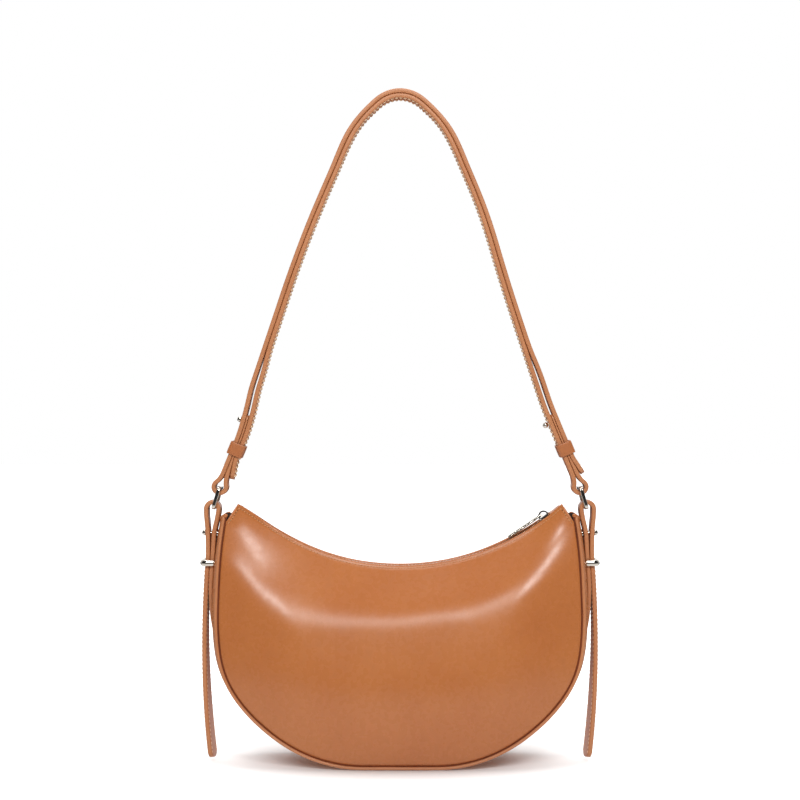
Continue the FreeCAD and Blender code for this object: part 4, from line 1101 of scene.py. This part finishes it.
cloth_faces = [lining_face(PANEL + sunk) for sunk in (0.5, 1.0)]
side_faces = [np.stack([gusset_row(a, 200, sunk) for a in np.linspace(-0.94, 0.94, 15)]) for sunk in (2.0, 2.5)]
front_lining = thick_sheet("front_lining_cloth", *cloth_faces, [SHADED_LINING_CLOTH])
back_lining = thick_sheet("back_lining_cloth", *(face * turn_round for face in cloth_faces), [SHADED_LINING_CLOTH])
side_lining = thick_sheet("gusset_lining_cloth", *side_faces, [SHADED_LINING_CLOTH])
for side, mirror in SIDES:
    cloth = corner_shade_cloth(side + "_corner_shade_cloth", mirror)
    settle(cloth, "bag", [])

LINING_CUT, SIDE_CUT = (0.29, 0.205), (0.078, 0.52)
for piece, node, cut, leather_piece in ((front_lining, "front_lining", LINING_CUT, leathers["front"]),
                                        (back_lining, "back_lining", LINING_CUT, leathers["back"]),
                                        (side_lining, "gusset_lining", SIDE_CUT, gusset)):
    settle(piece, "bag", [node])
    print(piece.name, "has", round(cloth_area(piece) * 1e4), "square centimetres")

# %% [markdown]
# ## Stitches
# Every seam is sewn with a row of short stitches. Hundreds of them repeat along lines, which is what
# Geometry Nodes are for: the tree takes lines with a direction that points away from the leather, spreads points
# along them at the pitch, and puts one small rounded stitch on each. The lines come from the same walks as the
# leather.

# %% The stitch tree
ROUND, RINGS = 8, 6


def stitch_tree():
    """A node tree that sews lines: one rounded stitch at each step of the pitch."""
    tree = bpy.data.node_groups.new("sewn row", "GeometryNodeTree")
    face = tree.interface
    face.new_socket("Lines", in_out="INPUT", socket_type="NodeSocketGeometry")
    for title, value in (("Pitch", 0.0024), ("Length", 0.0019), ("Width", 0.0007), ("Height", 0.0006)):
        face.new_socket(title, in_out="INPUT", socket_type="NodeSocketFloat").default_value = value
    face.new_socket("Thread", in_out="INPUT", socket_type="NodeSocketMaterial")
    face.new_socket("Stitches", in_out="OUTPUT", socket_type="NodeSocketGeometry")
    make, link = tree.nodes.new, tree.links.new
    given, result = make("NodeGroupInput"), make("NodeGroupOutput")
    curve, steps = make("GeometryNodeMeshToCurve"), make("GeometryNodeResampleCurve")
    steps.mode = "LENGTH"
    link(given.outputs["Lines"], curve.inputs[0])
    link(curve.outputs[0], steps.inputs[0])
    link(given.outputs["Pitch"], steps.inputs["Length"])
    away = make("GeometryNodeInputNamedAttribute")
    away.data_type = "FLOAT_VECTOR"
    away.inputs["Name"].default_value = "away"
    turn = make("FunctionNodeAxesToRotation")
    turn.primary_axis, turn.secondary_axis = "Z", "X"
    link(away.outputs[0], turn.inputs[0])
    link(make("GeometryNodeInputTangent").outputs[0], turn.inputs[1])
    bead_shape, size = make("GeometryNodeMeshUVSphere"), make("ShaderNodeCombineXYZ")
    for title, value in (("Segments", ROUND), ("Rings", RINGS), ("Radius", 0.5)):
        bead_shape.inputs[title].default_value = value
    for title, k in (("Length", 0), ("Width", 1), ("Height", 2)):
        link(given.outputs[title], size.inputs[k])
    shaped, sewn = make("GeometryNodeTransform"), make("GeometryNodeInstanceOnPoints")
    link(bead_shape.outputs[0], shaped.inputs["Geometry"])
    link(size.outputs[0], shaped.inputs["Scale"])
    link(steps.outputs[0], sewn.inputs["Points"])
    link(shaped.outputs[0], sewn.inputs["Instance"])
    link(turn.outputs[0], sewn.inputs["Rotation"])
    real, soft, finish = (make("GeometryNode" + k) for k in ("RealizeInstances", "SetShadeSmooth", "SetMaterial"))
    link(sewn.outputs[0], real.inputs[0])
    link(real.outputs[0], soft.inputs[0])
    link(soft.outputs[0], finish.inputs[0])
    link(given.outputs["Thread"], finish.inputs["Material"])
    link(finish.outputs[0], result.inputs[0])
    return tree


SEWN_ROW = stitch_tree()


def sew(name, lines, sizes, finish=THREAD):
    """Stitches along lines of points with their directions away from the leather, as one plain mesh. The sizes are
    pitch, length, width and height."""
    points, edges, ways = [], [], []
    for line, way in lines:
        edges += [(len(points) + k, len(points) + k + 1) for k in range(len(line) - 1)]
        points += (np.asarray(line, float) * 0.001).tolist()
        ways += np.asarray(way, float).tolist()
    guide = bpy.data.meshes.new(name + "_lines")
    guide.from_pydata(points, edges, [])
    stored = guide.attributes.new("away", "FLOAT_VECTOR", "POINT")
    stored.data.foreach_set("vector", np.array(ways, dtype=np.float32).ravel())
    carrier = show(name + "_lines", guide)
    sewing = carrier.modifiers.new("sewn row", "NODES")
    sewing.node_group = SEWN_ROW
    wanted = dict(zip(("Pitch", "Length", "Width", "Height"), sizes), Thread=finish)
    for item in SEWN_ROW.interface.items_tree:
        if item.in_out == "INPUT" and item.name in wanted:
            value = wanted[item.name]
            sewing[item.identifier] = value if item.name == "Thread" else value * 0.001
    ready = carrier.evaluated_get(bpy.context.evaluated_depsgraph_get())
    mesh = bpy.data.meshes.new_from_object(ready)
    carrier.modifiers.remove(sewing)
    bpy.data.objects.remove(carrier)
    print(name, "has", len(mesh.polygons) // (ROUND * RINGS), "stitches")
    return show(name, mesh)


print("stitch tree with", len(SEWN_ROW.nodes), "nodes")

# %% [markdown]
# ## Sewing the panels
# The mouth is turned in and sewn about 2.5 mm below its edge, and the row runs on down both slanted corners. The row
# lies in the furrow that the panel already has. Its direction away from the leather is the slope of the panel's face.

# %% Panel stitches
PANEL_STITCH, MOUTH_HOLE, CORNER_HOLE = (2.4, 1.75, 0.62, 0.5), (2.4, 0.5, 0.5, 0.2), (2.4, 0.9, 0.9, 0.25)
ROW_SHARE, CORNER_START, CORNER_STOP, CORNER_IN = 0.975, 3.4, 1.2, 2.4


def on_panel(x, w, proud, ease):
    """Points on the panel and their outward directions."""
    step = 0.4
    here = panel_face(x, w, -proud, ease)
    ahead = panel_face(x + step, w, 0.0, ease) - panel_face(x - step, w, 0.0, ease)
    upward = panel_face(x, w + step, 0.0, ease) - panel_face(x, w - step, 0.0, ease)
    way = np.cross(ahead, upward)
    return here, way / np.linalg.norm(way, axis=1, keepdims=True)


def panel_rows(late, proud, ease):
    """The rows along the mouth and both corners of a panel, starting late by a part of the pitch."""
    row_r = MOUTH_R + SEWN_IN
    turned = np.linspace(-swing * ROW_SHARE + late / row_r, swing * ROW_SHARE, 260)
    rows = [on_panel(row_r * np.sin(turned), MOUTH_MIDDLE + MOUTH_R - row_r * np.cos(turned), proud, ease)]
    slant = np.array([bottom_x[-1] - CORNER_HALF, bottom_w[-1] - CORNER])
    long = float(np.linalg.norm(slant))
    way = slant / long
    at = np.linspace(CORNER_START + late, long - CORNER_STOP, 24)
    x = CORNER_HALF + way[0] * at + way[1] * CORNER_IN
    w = CORNER + way[1] * at - way[0] * CORNER_IN
    return rows + [on_panel(x, w, proud, ease), on_panel(-x, w, proud, ease)]


def on_back(rows):
    """The same rows on the back."""
    return [(p * turn_round, d * turn_round) for p, d in rows]


panel_lines = panel_rows(0.0, 0.10, FRONT_EASE) + on_back(panel_rows(0.0, 0.10, BACK_EASE))
panel_stitches = sew("panel_stitches", panel_lines, PANEL_STITCH)
settle(panel_stitches, "bag")
front_holes, back_holes = panel_rows(1.2, 0.04, FRONT_EASE), on_back(panel_rows(1.2, 0.04, BACK_EASE))
# The holes are dark marks of painted shade beside the stitches.
mouth_holes = sew("mouth_needle_holes", front_holes[:1] + back_holes[:1], MOUTH_HOLE, NEEDLE_HOLE_SHADE)
corner_holes = sew("corner_needle_holes", front_holes[1:] + back_holes[1:], CORNER_HOLE, NEEDLE_HOLE_SHADE)
for holes in (mouth_holes, corner_holes):
    settle(holes, "bag")

# %% [markdown]
# ## Sewing the straps
# Straps are sewn along both edges. On the outer face the thread is pulled flat into the leather. On the inner face
# each stitch stands up as a small bulge, which shows as a row of bumps along the inside of the arch. The rows follow
# the strap, and those of the side straps are baked in place like the side straps.

# %% Strap stitches
FLAT_STITCH, BULGE, TAIL_STITCH = (3.4, 2.6, 0.6, 0.3), (3.4, 2.5, 0.9, 1.5), (3.4, 2.4, 0.8, 0.8)
EDGE_IN, SEWN_FROM, SEWN_SHORT = 1.9, 62.0, 3.0


def strap_lines(rows, place, start, end, faces, proud):
    """Rows of stitches along both edges of a strap, between two lengths, on the named faces."""
    rows = fine_rows(rows, 2.0) if rows[0, 3] == 0 else rows
    keep = rows[(rows[:, 3] >= start) & (rows[:, 3] <= end)]
    lines = []
    for face in faces:
        for y in (-STRAP_WIDTH / 2 + EDGE_IN, STRAP_WIDTH / 2 - EDGE_IN):
            off = face * (STRAP / 2 + proud)
            line = np.stack([keep[:, 0] - off * np.sin(keep[:, 2]), np.full(len(keep), y),
                             keep[:, 1] + off * np.cos(keep[:, 2])], axis=-1)
            tip = np.stack([-np.sin(keep[:, 2]), np.zeros(len(keep)), np.cos(keep[:, 2])], axis=-1) * face
            moved = place(line)
            lines.append((moved, place(line + tip) - moved))
    return lines


outer_rows, outer_place = LAYERS["outer_strap"]
inner_rows, inner_place = LAYERS["inner_strap"]
flat_lines = strap_lines(outer_rows, outer_place, SEWN_FROM, outer_rows[-1, 3] - SEWN_SHORT, (1,), -0.02)
proud_lines = strap_lines(inner_rows, inner_place, SEWN_FROM, inner_rows[-1, 3] - SEWN_SHORT, (-1,), 0.1)
settle(sew("strap_stitches", flat_lines, FLAT_STITCH), "shoulder_strap")
# The bulges under the strap take the paler thread, which is painted light.
settle(sew("strap_bulges", proud_lines, BULGE, LIT_THREAD), "shoulder_strap")
for side, mirror in SIDES:
    loop_line = strap_lines(SIDE_ROWS, plain_side(mirror), 60.0, SIDE_ROWS[-1, 3] - 4, (1,), -0.02)
    loop_row = sew(side + "_side_stitches", loop_line, FLAT_STITCH)
    tail_line = strap_lines(TAIL_ROWS, turned_side(mirror), 3.0, TAIL_ROWS[-1, 3] - 4, (1, -1), 0.0)
    # The tails' stitches take the paler thread too, which is painted light.
    tail_row = sew(side + "_tail_stitches", tail_line, TAIL_STITCH, LIT_THREAD)
    settle(loop_row, None)
    settle(tail_row, None)
    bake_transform(loop_row)
    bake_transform(tail_row)

# %% [markdown]
# ## Floor, light and camera
# The bag stands on a white table in a white room. One large soft light hangs above. Two boxes stand in front, left
# and right of the camera, and draw the bright streaks on the shoulders and along the ridge. Behind the camera the
# room is dark, which gives the polished metal its black lines. The table's white is partly a glow. It is left out
# close round the bag, a painted shadow, and in reflections it fades away from the bag, a painted reflection.

# %% Floor
WHITE, FLOOR_HALF = (1.0, 1.0, 1.0, 1.0), 6000
floor_finish, floor_tree, floor_shader, floor_place = new_finish("white table")
dress(floor_tree, floor_shader, Base_Color=(0.8, 0.8, 0.8, 1.0), Roughness=0.6)
floor_finish.cycles.emission_sampling = "NONE"


def glow(strength):
    """A white glow on the floor, which is no lamp."""
    return add_node(floor_tree, "Emission", None, Color=WHITE, Strength=strength).outputs[0]


def one_of(share, first, second):
    """The first shader, or the second one where the share is one."""
    made = add_node(floor_tree, "MixShader", None, Fac=share)
    fill(floor_tree, made.inputs[1], first)
    fill(floor_tree, made.inputs[2], second)
    return made.outputs[0]


ray = add_node(floor_tree, "LightPath").outputs
oval = add_node(floor_tree, "Mapping", None, Vector=floor_place, Location=(0.0, -0.03, 0.0), Scale=(1.0, 1.5, 1.0))
measure = add_node(floor_tree, "VectorMath", {"operation": "LENGTH"})
fill(floor_tree, measure.inputs[0], oval.outputs[0])
away = measure.outputs["Value"]
# Painted shadow: the glow is left out within about 9 cm of the bag's middle and grows to full white further away.
near, far = spread(floor_tree, away, 0.085, 0.165, 0.0, 0.62), spread(floor_tree, away, 0.15, 0.6, 0.0, 0.4)
# Painted reflection: in glossy rays the table glows fully near the bag and fades to almost nothing far away.
painted_reflection_glow = glow(spread(floor_tree, away, 0.3, 1.5, 1.0, 0.03))
total = add_node(floor_tree, "AddShader")
fill(floor_tree, total.inputs[0], floor_shader.outputs[0])
fill(floor_tree, total.inputs[1], glow(maths(floor_tree, "ADD", near, far)))
shown = one_of(ray["Is Camera Ray"], painted_reflection_glow, total.outputs[0])
straight = maths(floor_tree, "MAXIMUM", ray["Is Camera Ray"], ray["Is Glossy Ray"])
clear = one_of(maths(floor_tree, "MAXIMUM", straight, ray["Is Transmission Ray"]), floor_shader.outputs[0], shown)
fill(floor_tree, floor_tree.nodes["Material Output"].inputs["Surface"], clear)
floor_corners = [(x * FLOOR_HALF, y * FLOOR_HALF, 0) for x, y in ((-1, -1), (1, -1), (1, 1), (-1, 1))]
floor = make_mesh("table", floor_corners, [(0, 1, 2, 3)], [floor_finish], closed=False)
print("table of", [round(v, 1) for v in floor.dimensions])

# %% Room and lights
room = bpy.data.worlds.new("white room")
scene.world = room
room.use_nodes = True
room_tree = room.node_tree
room_light = room_tree.nodes["Background"]
look = add_node(room_tree, "TexCoord").outputs["Generated"]
split = add_node(room_tree, "SeparateXYZ", None, Vector=look)
behind = spread(room_tree, split.outputs[1], -0.1, 0.6, 0.02, 1.0)
seen = add_node(room_tree, "LightPath").outputs["Is Camera Ray"]
dress(room_tree, room_light, Color=WHITE, Strength=maths(room_tree, "MAXIMUM", behind, seen))
MIDDLE = (0.0, 0.0, 0.13)


def soft_light(name, place, aim, wide, tall, watts):
    """A rectangular soft light that looks at a point."""
    lamp = bpy.data.lights.new(name, "AREA")
    lamp.shape, lamp.size, lamp.size_y, lamp.energy = "RECTANGLE", wide, tall, watts
    holder = show(name, lamp)
    holder.location = place
    way = np.array(aim, float) - np.array(place, float)
    flat_way = math.hypot(way[0], way[1])
    holder.rotation_euler = (math.atan2(flat_way, -way[2]), 0.0, math.atan2(-way[0], way[1]))


def stand_off(turn, rise, distance):
    """A place at a distance from the bag's middle, turned to the right and raised by degrees."""
    return (distance * sine(turn) * cosine(rise), -distance * cosine(turn) * cosine(rise),
            MIDDLE[2] + distance * sine(rise))


soft_light("top light", (0.0, 0.10, 1.90), (0.0, 0.0, 0.0), 1.7, 1.0, 18.5)
soft_light("left box", stand_off(-13, 34, 1.95), MIDDLE, 0.28, 0.38, 8.6)
soft_light("right box", stand_off(13, 35, 1.95), MIDDLE, 0.42, 0.42, 13.0)
print("three soft lights")

# %% Camera
lens = bpy.data.cameras.new("camera")
lens.lens, lens.sensor_width, lens.shift_y = 82.6, 36.0, -0.008
camera = show("camera", lens)
camera.location = (0.0, -1.45, 0.290)
camera.rotation_euler = (math.radians(90), 0.0, 0.0)
scene.camera = camera
print("camera at", tuple(round(v, 3) for v in camera.location))

# %% [markdown]
# ## Finish
# The dressed bag has to stay as large as its solids. The last line brings the scene up to date.

# %% Finish
bpy.context.view_layer.update()
